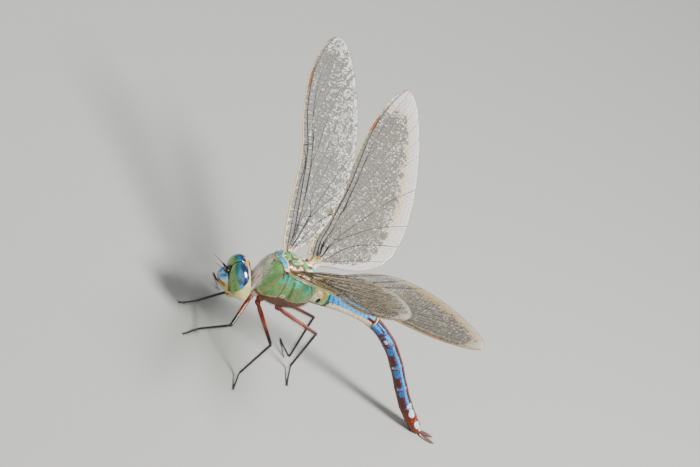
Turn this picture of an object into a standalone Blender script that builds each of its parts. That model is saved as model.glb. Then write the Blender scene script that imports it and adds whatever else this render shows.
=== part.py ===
"""A female emperor dragonfly standing with its abdomen curved down, life size.

Every node is one closed solid.  Lengths are millimetres until the last step.
Two frames are used.  The body frame is (forward, left, dorsal), with its
origin in the middle of the thorax.  The model frame is +Z up with the head
towards -X and the insect's left side towards -Y; the feet and the tail
appendages rest at Z = 0.
"""

import math

import bmesh
import bpy
from mathutils import Matrix, Vector

MM = 0.001
GAP = 0.12                       # clear space left between neighbouring nodes

# Stance of the body frame over the floor.
NOSE_DOWN = math.radians(10.0)
BODY_HEIGHT = 17.75
CENTRE_X, CENTRE_Y = 21.7, 0.35  # middle of the model's plan, from the body origin

# Head, in its own frame (forward, left, up) about HEAD_AT in the body frame.
HEAD_AT = Vector((9.4, 0.0, -2.0))
HEAD_NOD = math.radians(30.0)
EYE_AT = Vector((-0.1, 2.05, 0.15))
EYE_RADII = (2.45, 2.6, 4.1)
EYE_LEAN = math.radians(25.0)    # tops lean in until the eyes meet
EYE_SEAM = 0.06                  # half the gap between the two eyes
EYE_BACK = -2.1                  # the rear of each eye is cut flat here
CAPSULE_AT = Vector((-0.55, 0.0, -0.2))
CAPSULE_RADII = (2.2, 3.8, 3.6)
MOUTH_LINE = -3.3                # height where the mouthparts meet the face
# Face, from the mouth line upwards: height, front, half width.
FACE = (
    (-3.5, 3.4, 1.8), (-2.6, 3.8, 2.0), (-1.4, 4.1, 2.1), (-0.5, 4.35, 2.15),
    (0.25, 4.4, 2.1), (0.85, 4.0, 2.0), (1.35, 3.1, 1.75), (1.6, 2.2, 1.3),
)
FACE_REAR = -0.6
ANTENNA_LENGTH, ANTENNA_WIDTH = 4.3, 0.5

# Thorax stations: forward, top, bottom, half width.
THORAX = (
    (5.5, 3.2, -2.2, 1.8), (5.2, 4.6, -3.2, 2.7), (4.5, 5.8, -3.8, 3.3),
    (3.5, 6.5, -4.2, 3.7), (2.2, 6.8, -4.6, 4.0), (0.8, 6.5, -4.8, 4.15),
    (-0.8, 6.0, -4.8, 4.2), (-2.4, 5.8, -4.5, 4.15), (-3.8, 5.4, -4.0, 3.9),
    (-5.0, 4.8, -3.4, 3.5), (-5.8, 4.0, -2.9, 3.0), (-6.3, 3.1, -2.4, 2.5),
)
THORAX_SQUARENESS = 2.6

# Abdomen: length and slope below the rearward axis of each segment,
# then half width and half height at every joint.
ABDOMEN_AT = Vector((-6.45, 0.0, 0.4))
ABDOMEN_LENGTHS = (1.9, 4.7, 10.3, 8.2, 7.2, 6.8, 6.0, 4.3, 3.2, 1.8)
ABDOMEN_SLOPES = (2.0, 2.0, 11.5, 31.0, 44.0, 49.0, 47.0, 42.0, 38.0, 34.0)
ABDOMEN_RADII = (
    (2.30, 2.55), (2.25, 2.45), (2.00, 2.10), (1.40, 1.48), (1.38, 1.45),
    (1.38, 1.45), (1.42, 1.45), (1.55, 1.48), (1.52, 1.40), (1.30, 1.15),
    (0.85, 0.60),
)
CERCUS_LENGTH, CERCUS_WIDTH, CERCUS_DEPTH = 4.6, 1.2, 0.55

# Wings: hinge in the body frame, span, raise and sweep in degrees (left, right),
# and stations of (share of span, leading edge, trailing edge).
CHORD_RAISED = (26.0, 30.0)      # how far trailing edges stand above the body line
WING_THICKNESS = 0.5
WINGS = {
    "fore": dict(
        hinge=(1.3, 2.4, 5.1), span=50.0,
        raised=(35.0, 33.5), swept=(1.5, 3.0),
        outline=(
            (0.015, 1.0, -1.1), (0.04, 1.4, -2.0), (0.08, 1.7, -3.8),
            (0.13, 1.8, -5.5), (0.20, 1.9, -6.9), (0.30, 1.9, -8.2),
            (0.40, 1.9, -8.8), (0.50, 2.3, -8.8), (0.60, 3.3, -8.3),
            (0.70, 3.9, -7.3), (0.79, 4.0, -6.1), (0.86, 3.7, -4.9),
            (0.92, 3.0, -3.6), (0.96, 2.2, -2.5), (0.985, 1.3, -1.5),
            (1.0, 0.3, -0.8),
        )),
    "hind": dict(
        hinge=(-4.4, 2.4, 5.1), span=48.5,
        raised=(32.0, 28.5), swept=(22.5, 23.0),
        outline=(
            (0.015, 1.1, -2.6), (0.035, 1.6, -6.2), (0.065, 1.9, -9.6),
            (0.11, 2.1, -12.2), (0.17, 2.2, -13.7), (0.25, 2.2, -14.2),
            (0.35, 2.1, -13.9), (0.45, 2.2, -13.0), (0.55, 2.6, -11.7),
            (0.65, 3.0, -10.1), (0.74, 3.1, -8.4), (0.82, 2.9, -6.7),
            (0.89, 2.4, -5.0), (0.94, 1.8, -3.6), (0.975, 1.1, -2.2),
            (1.0, 0.2, -1.0),
        )),
}
WING_ROWS = 5                    # strips across the chord
WING_SAG = 0.35                  # arch of the chord

# Legs: femur, tibia and tarsus lengths of each pair and their half widths.
LEG_LENGTHS = {"fore": (8.3, 7.4, 4.7), "mid": (10.2, 8.9, 5.2), "hind": (12.0, 10.5, 6.0)}
FEMUR_RADIUS, KNEE_RADIUS, TIBIA_RADIUS, TARSUS_RADIUS = 0.62, 0.42, 0.30, 0.26
COXA_RADIUS = 0.85
ANKLE_HEIGHT, FOOT_HEIGHT, FOOT_RADIUS = 1.15, 0.26, 0.36
# Hip in the body frame; headings are degrees from straight ahead towards the
# left, slopes are degrees above the horizontal.
LEGS = {
    "fore_left": dict(hip=(4.8, 1.3, -4.9), femur=(68, -35), tibia=-38, tarsus=38),
    "mid_left": dict(hip=(3.1, 1.5, -5.6), femur=(113, -11), tibia=50, tarsus=72),
    "hind_left": dict(hip=(-1.7, 1.3, -5.7), femur=(178, -4.6), tibia=-171, tarsus=78),
    "fore_right": dict(hip=(4.9, -1.3, -4.9), femur=(-97, -55), tibia=24, tarsus=26),
    "mid_right": dict(hip=(3.1, -1.5, -5.6), femur=(-113, -11), tibia=-50, tarsus=-72),
    "hind_right": dict(hip=(-2.6, -1.4, -5.6), femur=(-168, -7), tibia=120, tarsus=-84),
}

COLOURS = {
    "face": (0.72, 0.62, 0.30), "eye": (0.05, 0.35, 0.42), "thorax": (0.22, 0.42, 0.12),
    "abdomen": (0.32, 0.10, 0.05), "leg": (0.10, 0.04, 0.03), "wing": (0.62, 0.60, 0.54),
}


# ---------------------------------------------------------------- frames

def body(point):
    """A point of the body frame, in the model frame."""
    f, l, d = point
    c, s = math.cos(NOSE_DOWN), math.sin(NOSE_DOWN)
    return Vector((-(f * c + d * s) - CENTRE_X, -l - CENTRE_Y, d * c - f * s + BODY_HEIGHT))


def head(point):
    """A point of the head frame, in the model frame."""
    f, l, u = point
    c, s = math.cos(HEAD_NOD), math.sin(HEAD_NOD)
    return body(HEAD_AT + Vector((f * c + u * s, l, u * c - f * s)))


def heading(turn, slope):
    """Unit vector from a heading and a slope, both in degrees."""
    a, e = math.radians(turn), math.radians(slope)
    return Vector((-math.cos(a) * math.cos(e), -math.sin(a) * math.cos(e), math.sin(e)))


# ---------------------------------------------------------------- solids

def start():
    for old in list(bpy.data.objects):
        bpy.data.objects.remove(old)


def solid(name, points, faces, colour):
    """A named closed mesh from points in millimetres, wound outwards."""
    mesh = bpy.data.meshes.new(name)
    mesh.from_pydata([tuple(p * MM) for p in points], [], faces)
    bm = bmesh.new()
    bm.from_mesh(mesh)
    bmesh.ops.recalc_face_normals(bm, faces=bm.faces)
    if bm.calc_volume(signed=True) < 0:
        bmesh.ops.reverse_faces(bm, faces=bm.faces)
    bm.to_mesh(mesh)
    bm.free()
    obj = bpy.data.objects.new(name, mesh)
    bpy.context.scene.collection.objects.link(obj)
    paint = bpy.data.materials.new(name)
    paint.use_nodes = True
    shader = paint.node_tree.nodes["Principled BSDF"]
    shader.inputs["Base Color"].default_value = (*COLOURS[colour], 1)
    shader.inputs["Roughness"].default_value = 0.45
    mesh.materials.append(paint)
    return obj


def loft(name, rings, colour):
    """A closed solid through rings that have the same number of points."""
    count = len(rings[0])
    points = [p for ring in rings for p in ring]
    faces = [tuple(reversed(range(count)))]
    for i in range(len(rings) - 1):
        a, b = i * count, (i + 1) * count
        for j in range(count):
            k = (j + 1) % count
            faces.append((a + j, a + k, b + k, b + j))
    last = (len(rings) - 1) * count
    faces.append(tuple(last + j for j in range(count)))
    return solid(name, points, faces, colour)


def oval(centre, across, up, sides, squareness=2.0, below=None):
    """A ring about a centre; below is the lower half's own half height."""
    ring = []
    for j in range(sides):
        a = 2 * math.pi * (j + 0.5) / sides
        s, c = math.sin(a), math.cos(a)
        power = 2.0 / squareness
        x = math.copysign(abs(s) ** power, s)
        y = math.copysign(abs(c) ** power, c)
        tall = below if (below is not None and y < 0) else up
        ring.append(centre + across * x + tall * y)
    return ring


def tube(name, path, radii, colour, sides=8, floor=None):
    """A round bar with softened ends through the points of a path."""
    along = [(path[min(i + 1, len(path) - 1)] - path[max(i - 1, 0)]).normalized()
             for i in range(len(path))]
    side = along[0].cross(Vector((0, 0, 1)))
    if side.length < 0.1:
        side = along[0].cross(Vector((0, 1, 0)))
    rings = []
    for i, (at, way, radius) in enumerate(zip(path, along, radii)):
        side = (side - way * side.dot(way)).normalized()
        up = side.cross(way)
        if i == 0:
            rings.append(oval(at, side * radius * 0.55, up * radius * 0.55, sides))
            at = at + way * radius * 0.45
        if i == len(path) - 1:
            rings.append(oval(at - way * radius * 0.45, side * radius, up * radius, sides))
            radius *= 0.55
        rings.append(oval(at, side * radius, up * radius, sides))
    if floor is not None:
        for ring in rings:
            for p in ring:
                p.z = max(p.z, floor)
    return loft(name, rings, colour)


def ball(name, centre, radii, colour, place, segments=24, rows=14, tip=0.0):
    """An ellipsoid in a local frame, leaned by tip about the forward axis."""
    turn = Matrix.Rotation(tip, 3, "X")
    rings = []
    for i in range(1, rows):
        a = math.pi * i / rows
        ring = []
        for j in range(segments):
            b = 2 * math.pi * j / segments
            q = Vector((radii[0] * math.cos(a), radii[1] * math.sin(a) * math.sin(b),
                        radii[2] * math.sin(a) * math.cos(b)))
            ring.append(place(centre + turn @ q))
        rings.append(ring)
    front = place(centre + Vector((radii[0], 0, 0)))
    back = place(centre - Vector((radii[0], 0, 0)))
    points = [p for ring in rings for p in ring] + [front, back]
    faces = []
    n = segments
    for i in range(len(rings) - 1):
        for j in range(n):
            k = (j + 1) % n
            faces.append((i * n + j, i * n + k, (i + 1) * n + k, (i + 1) * n + j))
    last = (len(rings) - 1) * n
    for j in range(n):
        k = (j + 1) % n
        faces.append((len(points) - 2, k, j))
        faces.append((len(points) - 1, last + j, last + k))
    return solid(name, points, faces, colour)


def block(name, low, high, colour, place):
    """A box between two corners of a local frame."""
    corners = [place(Vector((x, y, z))) for x in (low[0], high[0])
               for y in (low[1], high[1]) for z in (low[2], high[2])]
    faces = [(0, 1, 3, 2), (4, 6, 7, 5), (0, 4, 5, 1), (2, 3, 7, 6), (0, 2, 6, 4), (1, 5, 7, 3)]
    return solid(name, corners, faces, colour)


def combine(target, other, how):
    """Boolean of target with other; other is used up."""
    step = target.modifiers.new(how, "BOOLEAN")
    step.operation = how
    step.solver = "EXACT"
    step.object = other
    done = bpy.data.meshes.new_from_object(
        target.evaluated_get(bpy.context.evaluated_depsgraph_get()))
    target.modifiers.clear()
    target.data = done
    bpy.data.objects.remove(other)
    keep = target.data.materials[0]
    target.data.materials.clear()
    target.data.materials.append(keep)
    for face in target.data.polygons:
        face.material_index = 0


# ---------------------------------------------------------------- head

def build_head():
    def grown(side, extra):
        at = Vector((EYE_AT.x, EYE_AT.y * side, EYE_AT.z))
        size = tuple(r + extra for r in EYE_RADII)
        return at, size, EYE_LEAN * side

    far = 12.0
    for label, side in (("left", 1), ("right", -1)):
        at, size, lean = grown(side, 0.0)
        eye = ball(f"eye_{label}", at, size, "eye", head, 24, 16, lean)
        near, beyond = sorted((EYE_SEAM * side, -far * side))
        combine(eye, block("cut", (-far, near, -far), (far, beyond, far), "eye", head),
                "DIFFERENCE")
        combine(eye, block("cut", (-far, -far, -far), (EYE_BACK, far, far), "eye", head),
                "DIFFERENCE")

    capsule = ball("head", CAPSULE_AT, CAPSULE_RADII, "face", head, 24, 14)
    rings = []
    for height, front, half in FACE:
        middle = Vector(((front + FACE_REAR) / 2, 0, height))
        rings.append([head(p) for p in oval(middle, Vector((0, half, 0)), Vector(
            ((front - FACE_REAR) / 2, 0, 0)), 16, 2.8)])
    combine(capsule, loft("frons", rings, "face"), "UNION")
    for side in (1, -1):
        at, size, lean = grown(side, GAP)
        combine(capsule, ball("socket", at, size, "eye", head, 24, 16, lean), "DIFFERENCE")
    combine(capsule, block("cut", (-far, -far, -far), (far, far, MOUTH_LINE), "face", head),
            "DIFFERENCE")

    def mouth_ring(height, forward, length, width):
        middle = Vector((forward, 0, height))
        return [head(p) for p in oval(middle, Vector((0, width / 2, 0)),
                                      Vector((length / 2, 0, 0)), 14, squareness=2.4)]

    loft("mouthparts", [
        mouth_ring(MOUTH_LINE - GAP, 1.6, 3.9, 3.7),
        mouth_ring(-4.1, 1.65, 3.7, 3.9),
        mouth_ring(-4.9, 1.5, 2.8, 3.3),
        mouth_ring(-5.5, 1.3, 1.6, 2.1),
    ], "face")

    for label, side in (("left", 1), ("right", -1)):
        root = Vector((2.7, 0.95 * side, 1.9))
        way = Vector((0.50, 0.07 * side, 0.86)).normalized()
        half = ANTENNA_WIDTH / 2
        path = [head(root + way * (ANTENNA_LENGTH * t)) for t in (0, 0.12, 0.3, 0.65, 1)]
        tube(f"antenna_{label}", path, [half * 1.25, half * 1.2, half, half, half], "leg", 8)


# ---------------------------------------------------------------- trunk

def build_trunk():
    rings = []
    for forward, top, bottom, half in THORAX:
        middle = (top + bottom) / 2
        rings.append([body(p) for p in oval(
            Vector((forward, 0, middle)), Vector((0, half, 0)),
            Vector((0, 0, (top - bottom) / 2)), 28, THORAX_SQUARENESS)])
    loft("thorax", rings, "thorax")

    neck = []
    for forward, dorsal, half, tall, lean in (
            (5.5 + GAP, 0.1, 1.7, 2.0, 0.0), (6.0, -0.3, 1.9, 2.1, 0.1),
            (6.4, -0.8, 1.45, 1.5, 0.2), (6.65, -1.1, 0.85, 0.9, 0.25)):
        middle = Vector((forward, 0, dorsal))
        neck.append([body(p) for p in oval(middle, Vector((0, half, 0)), Vector(
            (lean, 0, 1)) * tall, 16)])
    loft("prothorax", neck, "face")


def abdomen_joints():
    """Joint positions and the tangent that the joint plane stands across."""
    slopes = [math.radians(a) for a in ABDOMEN_SLOPES]
    ways = [Vector((-math.cos(a), 0, -math.sin(a))) for a in slopes]
    spots, at = [ABDOMEN_AT.copy()], ABDOMEN_AT.copy()
    for way, length in zip(ways, ABDOMEN_LENGTHS):
        at = at + way * length
        spots.append(at.copy())
    normals = [ways[0]] + [(a + b).normalized() for a, b in zip(ways, ways[1:])] + [ways[-1]]
    return spots, ways, normals


def build_abdomen():
    spots, ways, normals = abdomen_joints()
    across = Vector((0, 1, 0))
    for i, way in enumerate(ways):
        a, b = spots[i], spots[i + 1]
        (w0, h0), (w1, h1) = ABDOMEN_RADII[i], ABDOMEN_RADII[i + 1]
        steps = (0.0, 0.08, 0.5, 0.92, 1.0)
        rings = []
        for t in steps:
            normal = normals[i].lerp(normals[i + 1], t).normalized()
            up = across.cross(normal) * -1
            trim = GAP / 2 * (1 - 2 * t) if t in (0.0, 1.0) else 0.0
            at = a.lerp(b, t) + normal * trim
            shrink = 0.93 if t in (0.0, 1.0) else 1.0
            w, h = (w0 + (w1 - w0) * t) * shrink, (h0 + (h1 - h0) * t) * shrink
            rings.append([body(p) for p in oval(at, across * w, up * h, 16, 2.2)])
        loft(f"abdomen_s{i + 1:02d}", rings, "abdomen")

    tail = body(spots[-1])
    for label, side in (("left", -1), ("right", 1)):
        rings = []
        for t, wide in ((0.0, 0.45), (0.12, 0.7), (0.45, 1.0), (0.75, 0.85), (1.0, 0.3)):
            at = Vector((tail.x + GAP * 1.6 + CERCUS_LENGTH * t,
                         tail.y + side * (0.62 + 0.35 * t), CERCUS_DEPTH / 2))
            ring = oval(at, Vector((0, CERCUS_WIDTH / 2 * wide, 0)),
                        Vector((0, 0, CERCUS_DEPTH / 2)), 12, 3.0)
            for p in ring:
                if p.z < CERCUS_DEPTH * 0.12:
                    p.z = 0.0
            rings.append(ring)
        loft(f"cercus_{label}", rings, "abdomen")


# ---------------------------------------------------------------- wings

def wing_axes(side, raised, swept, tipped):
    """Span, chord and normal directions of a wing, in the body frame."""
    r, s = math.radians(raised), math.radians(swept)
    span = Vector((-math.cos(r) * math.sin(s), side * math.cos(r) * math.cos(s), math.sin(r)))
    rear = Vector((-1, 0, 0))
    chord = (rear - span * rear.dot(span)).normalized()
    normal = span.cross(chord) * side
    a = math.radians(tipped)
    return span, chord * math.cos(a) + normal * math.sin(a), \
        normal * math.cos(a) - chord * math.sin(a)


def build_wing(pair, label, side):
    spec = WINGS[pair]
    hinge = Vector((spec["hinge"][0], spec["hinge"][1] * side, spec["hinge"][2]))
    pick = 0 if side > 0 else 1
    span, chord, normal = wing_axes(side, spec["raised"][pick], spec["swept"][pick],
                                    CHORD_RAISED[pick])
    rings = []
    for share, lead, trail in spec["outline"]:
        top, low = [], []
        for k in range(WING_ROWS + 1):
            v = k / WING_ROWS
            back = -(lead + (trail - lead) * v)
            arch = WING_SAG * math.sin(math.pi * v) * min(1, (lead - trail) / 8)
            at = hinge + span * (spec["span"] * share) + chord * back + normal * arch
            top.append(body(at + normal * (WING_THICKNESS / 2)))
            low.append(body(at - normal * (WING_THICKNESS / 2)))
        rings.append(top + low[::-1])
    loft(f"wing_{pair}_{label}", rings, "wing")


# ---------------------------------------------------------------- legs

def build_leg(label):
    pose = LEGS[label]
    long_femur, long_tibia, long_tarsus = LEG_LENGTHS[label.split("_")[0]]
    hip = body(pose["hip"])
    thigh = heading(*pose["femur"])
    knee = hip + thigh * long_femur
    drop = math.degrees(math.asin((ANKLE_HEIGHT - knee.z) / long_tibia))
    shin = heading(pose["tibia"], drop)
    ankle = knee + shin * long_tibia
    foot_drop = math.degrees(math.asin((FOOT_HEIGHT - ankle.z) / long_tarsus))
    toe = heading(pose["tarsus"], foot_drop)

    at = [hip + thigh * (long_femur * t) for t in (0.0, 0.1, 0.22, 0.6, 1.0)]
    tube(f"femur_{label}", at,
         [COXA_RADIUS * 0.85, COXA_RADIUS, FEMUR_RADIUS, FEMUR_RADIUS * 0.92, KNEE_RADIUS],
         "leg")

    first = KNEE_RADIUS + GAP
    at = [knee + shin * (first + (long_tibia - first - 0.1) * t) for t in (0.0, 0.3, 1.0)]
    tube(f"tibia_{label}", at, [TIBIA_RADIUS * 1.05, TIBIA_RADIUS, TIBIA_RADIUS * 0.9], "leg")

    first = TIBIA_RADIUS + GAP
    level = Vector((toe.x, toe.y, 0)).normalized()
    sole = ankle + toe * long_tarsus
    sole.z = FOOT_HEIGHT
    heel = sole - level * 1.3
    at = [ankle + toe * first, (ankle + toe * first).lerp(heel, 0.5), heel, sole]
    tube(f"tarsus_{label}", at,
         [TARSUS_RADIUS, TARSUS_RADIUS, FOOT_RADIUS * 0.9, FOOT_RADIUS], "leg", 8, 0.0)


start()
build_head()
build_trunk()
build_abdomen()
for wing_pair in WINGS:
    build_wing(wing_pair, "left", 1)
    build_wing(wing_pair, "right", -1)
for leg_name in LEGS:
    build_leg(leg_name)
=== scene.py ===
# %% [markdown]
# # A dragonfly laying eggs
# This lesson dresses a life-size model of a female emperor dragonfly. It sits with its wings
# raised, and its abdomen bends down to the surface, where it would push its eggs into a stem.
# An insect's skin is a set of hard plates, so nearly everything here is a smooth closed shell.
# The colours are markings on those plates, and the wings are a net of veins with a film in it.
#
# The lesson starts by loading the solid model that gives every piece its place.

import math

import bmesh
import bpy
import numpy as np
from mathutils import Matrix, Vector, geometry
from mathutils.kdtree import KDTree


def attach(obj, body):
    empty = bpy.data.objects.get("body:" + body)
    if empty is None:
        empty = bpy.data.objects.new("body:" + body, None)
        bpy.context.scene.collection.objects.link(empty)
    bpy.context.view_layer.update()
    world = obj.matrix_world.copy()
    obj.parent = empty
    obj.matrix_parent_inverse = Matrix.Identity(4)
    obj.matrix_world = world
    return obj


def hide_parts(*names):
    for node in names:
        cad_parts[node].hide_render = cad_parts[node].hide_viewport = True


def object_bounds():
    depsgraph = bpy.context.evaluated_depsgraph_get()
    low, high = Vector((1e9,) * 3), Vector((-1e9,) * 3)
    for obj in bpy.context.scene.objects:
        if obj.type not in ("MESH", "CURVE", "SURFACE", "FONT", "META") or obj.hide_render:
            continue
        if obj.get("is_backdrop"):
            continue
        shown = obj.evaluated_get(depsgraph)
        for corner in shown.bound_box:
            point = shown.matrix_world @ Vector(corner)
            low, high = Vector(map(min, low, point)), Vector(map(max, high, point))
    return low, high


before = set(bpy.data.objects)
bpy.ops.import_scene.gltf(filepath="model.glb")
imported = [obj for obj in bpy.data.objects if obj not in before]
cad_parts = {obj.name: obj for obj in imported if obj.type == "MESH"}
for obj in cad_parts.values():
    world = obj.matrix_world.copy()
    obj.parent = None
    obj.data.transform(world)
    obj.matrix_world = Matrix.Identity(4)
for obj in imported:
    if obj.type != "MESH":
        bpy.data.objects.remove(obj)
solid_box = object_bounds()

# %% [markdown]
# An insect is drawn most easily in its own directions: forward, left and dorsal, with its back
# on top. The sizes are in millimetres. Two small functions turn such places into the scene's
# metres: one for the body, which stands with its nose a little down, and one for the head.

# %% Body and head directions
MM = 0.001
NOSE_DOWN = math.radians(10)
BODY_HEIGHT = 17.75
CENTRE_X, CENTRE_Y = 21.7, 0.35  # from the middle of the floor to the body's origin
HEAD_AT = (9.4, 0.0, -2.0)
HEAD_NOD = math.radians(30)


def from_body(places):
    """Places as (forward, left, dorsal) in millimetres, in the scene's metres."""
    forward, left, dorsal = np.asarray(places, float).reshape(-1, 3).T
    c, s = math.cos(NOSE_DOWN), math.sin(NOSE_DOWN)
    x = -(forward * c + dorsal * s) - CENTRE_X
    y = -left - CENTRE_Y
    z = dorsal * c - forward * s + BODY_HEIGHT
    return MM * np.stack([x, y, z], 1)


def from_head(places):
    """Places as (forward, left, up) of the head, in the scene's metres."""
    forward, left, up = np.asarray(places, float).reshape(-1, 3).T
    c, s = math.cos(HEAD_NOD), math.sin(HEAD_NOD)
    body = np.stack([forward * c + up * s, left, up * c - forward * s], 1)
    return from_body(body + np.array(HEAD_AT))


def from_floor(places):
    """Places as (x, y, z) in millimetres over the floor, in metres."""
    return MM * np.asarray(places, float).reshape(-1, 3)


print("neck at", from_body((5.5, 0, 0)).round(4).tolist())

# %% [markdown]
# Profiles of an insect are read off at a few places and change smoothly between them. This
# helper draws a smooth curve through such values and reads it wherever it is needed.

# %% Smooth curves through measured values


def curve_through(knots, values, at):
    """Values between the knots, by a smooth curve through them."""
    knots, values = np.asarray(knots, float), np.asarray(values, float)
    at = np.clip(np.asarray(at, float), knots[0], knots[-1])
    slopes = np.gradient(values, knots, axis=0)
    i = np.clip(np.searchsorted(knots, at, side="right") - 1, 0, len(knots) - 2)
    step = knots[i + 1] - knots[i]
    t = (at - knots[i]) / step
    if values.ndim == 2:
        t, step = t[..., None], step[..., None]
    start = (2 * t**3 - 3 * t**2 + 1) * values[i] + (t**3 - 2 * t**2 + t) * step * slopes[i]
    end = (3 * t**2 - 2 * t**3) * values[i + 1] + (t**3 - t**2) * step * slopes[i + 1]
    return start + end


def unit(vectors):
    """Vectors made one long."""
    vectors = np.asarray(vectors, float)
    return vectors / np.maximum(np.linalg.norm(vectors, axis=-1, keepdims=True), 1e-12)


def signed_power(values, power):
    """A power that keeps the sign, which squares off an oval."""
    return np.sign(values) * np.abs(values) ** power


print("halfway up a smooth bump:", float(curve_through((0, 1, 2), (0, 1, 0), 0.5)))

# %% [markdown]
# A shell is made as a loft: rings of points one behind another, joined by four-sided faces and
# closed at both ends. A tube is a loft along a path, and an egg or a lump starts as a ball.

# %% Lofts, balls and tubes


def loft(rings):
    """Points and faces of a closed shell through rings of (ring, point, column)."""
    count, sides = rings.shape[:2]
    grid = np.arange(count * sides).reshape(count, sides)
    beside = np.roll(grid, -1, axis=1)
    quads = np.stack([grid[:-1], beside[:-1], beside[1:], grid[1:]], -1).reshape(-1, 4)
    points = rings.reshape(count * sides, -1)
    middles = np.stack([rings[0].mean(0), rings[-1].mean(0)])
    first, last = count * sides, count * sides + 1
    caps = [(first, b, a) for a, b in zip(grid[0], beside[0])]
    caps += [(last, a, b) for a, b in zip(grid[-1], beside[-1])]
    return np.concatenate([points, middles]), quads.tolist() + caps


def ball(level=5):
    """Points and faces of a ball with a radius of one, evenly spread."""
    bm = bmesh.new()
    bmesh.ops.create_icosphere(bm, subdivisions=level, radius=1.0)
    points = np.array([v.co for v in bm.verts])
    faces = [[v.index for v in f.verts] for f in bm.faces]
    bm.free()
    return points, faces


def tube(path, radii, sides=14):
    """A round bar through a path. Its points also tell their share of the path."""
    path, radii = np.asarray(path, float), np.asarray(radii, float)
    along = unit(np.gradient(path, axis=0))
    side = unit(np.cross(along, (0, 0, 1)))
    over = np.cross(side, along)
    turns = np.linspace(0, 2 * math.pi, sides, endpoint=False)
    rings = (path[:, None] + radii[:, None, None] * (
        np.cos(turns)[None, :, None] * side[:, None]
        + np.sin(turns)[None, :, None] * over[:, None]))
    share = np.linspace(0, 1, len(path))
    marks = np.broadcast_to(share[:, None, None], rings.shape[:2] + (1,))
    return loft(np.concatenate([rings, marks], 2))


def tapered(start, end, radii, count=14):
    """A path and radii for a tube: straight, with its ends drawn in to round caps."""
    share = 0.5 - 0.5 * np.cos(np.linspace(0, math.pi, count))
    path = np.asarray(start, float) + share[:, None] * (np.asarray(end, float) - start)
    knots = np.linspace(0, 1, len(radii))
    wide = np.interp(share, knots, radii)
    length = np.linalg.norm(np.subtract(end, start))
    from_end = np.minimum(share, 1 - share) * length / np.maximum(wide, 1e-9)
    return path, wide * np.sqrt(np.clip(1 - (1 - np.minimum(from_end, 1)) ** 2, 0.01, 1))


print("faces of a ball:", len(ball()[1]), "of a short tube:", len(tube(*tapered(
    (0, 0, 0), (1, 0, 0), (0.1, 0.1)))[1]))

# %% [markdown]
# `Shells` collects the shells of one piece. Each point may carry marks, which are numbers that
# the material reads. Most marks say how far, in millimetres, a point lies inside the edge of a
# coloured patch, so the edge stays crisp between the points. `register` then puts the finished
# piece in the scene, on the body, and hides the solids that it stands for.

# %% Pieces with marks
FAR_OUTSIDE = -9.0  # what a mark reads on a shell that doesn't wear it


class Shells:
    """The shells that make one piece, with their finishes and marks."""

    def __init__(self):
        self.points, self.faces, self.finish, self.marks, self.count = [], [], [], {}, 0

    def add(self, points, faces, finish=0, **marks):
        """One more shell. finish is the number of its material."""
        for name, values in marks.items():
            self.marks.setdefault(name, []).append((self.count, np.asarray(values, float)))
        self.faces += [[i + self.count for i in face] for face in faces]
        self.finish += [finish] * len(faces)
        self.points.append(points)
        self.count += len(points)

    def make(self, name, finishes, slot, *stands_for):
        """The finished piece, riding on the body."""
        mesh = bpy.data.meshes.new(name)
        mesh.from_pydata(np.concatenate(self.points).tolist(), [], self.faces)
        for label, runs in self.marks.items():
            values = np.full(self.count, FAR_OUTSIDE)
            for start, numbers in runs:
                values[start:start + len(numbers)] = numbers
            mark = mesh.attributes.new(label, "FLOAT", "POINT")
            mark.data.foreach_set("value", values)
        for finish in finishes:
            mesh.materials.append(finish)
        mesh.polygons.foreach_set("material_index", self.finish)
        bm = bmesh.new()
        bm.from_mesh(mesh)
        bmesh.ops.recalc_face_normals(bm, faces=bm.faces)
        bm.to_mesh(mesh)
        bm.free()
        mesh.polygons.foreach_set("use_smooth", [True] * len(mesh.polygons))
        return register(bpy.data.objects.new(name, mesh), slot, *stands_for)


def register(piece, slot, *stands_for):
    """Puts a piece in the scene on the body and hides the solids it stands for; slot is not used.
    """
    bpy.context.scene.collection.objects.link(piece)
    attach(piece, "root")
    if stands_for:
        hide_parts(*stands_for)
    piece.data.calc_loop_triangles()
    print(piece.name, len(piece.data.loop_triangles), "triangles")
    return piece


print("marks outside their shell read", FAR_OUTSIDE)

# %% [markdown]
# Materials are node trees. Colours are written as they look on a screen, and `tint` turns them
# into the linear numbers that Blender works with. It also deepens them a little, because a
# bright, soft view washes colours out. `put` adds one node and joins its inputs, and `sums` and
# `blend` do that for the two kinds of node that are needed most.

# %% Colours and nodes
RICHER, DARKER = 1.38, 0.80


def tint(red, green, blue):
    """A colour from screen values of 0 to 255, by the usual screen curve."""
    linear = [(v / 255 / 12.92 if v <= 10 else ((v / 255 + 0.055) / 1.055) ** 2.4)
              for v in (red, green, blue)]
    grey = 0.21 * linear[0] + 0.72 * linear[1] + 0.07 * linear[2]
    return (*[max(0.001, grey + (v - grey) * RICHER) * DARKER for v in linear], 1.0)


def feed(tree, socket, value):
    """Gives a socket a plain value or another node's output."""
    if isinstance(value, bpy.types.NodeSocket):
        tree.links.new(value, socket)
    else:
        socket.default_value = value


def put(tree, kind, inputs=None, **settings):
    """Adds a node with its settings and inputs."""
    made = tree.nodes.new(kind)
    for key, value in settings.items():
        setattr(made, key, value)
    for key, value in (inputs or {}).items():
        feed(tree, made.inputs[key], value)
    return made


def sums(tree, operation, a, b=0.0, c=0.0, clamp=False):
    """The output of a Math node."""
    return put(tree, "ShaderNodeMath", {0: a, 1: b, 2: c}, operation=operation,
               use_clamp=clamp).outputs[0]


def blend(tree, share, under, over):
    """The colour output of a Mix node, whose colours are its inputs 6 and 7."""
    made = put(tree, "ShaderNodeMix", {0: share, 6: under, 7: over}, data_type="RGBA")
    return made.outputs[2]


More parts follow.
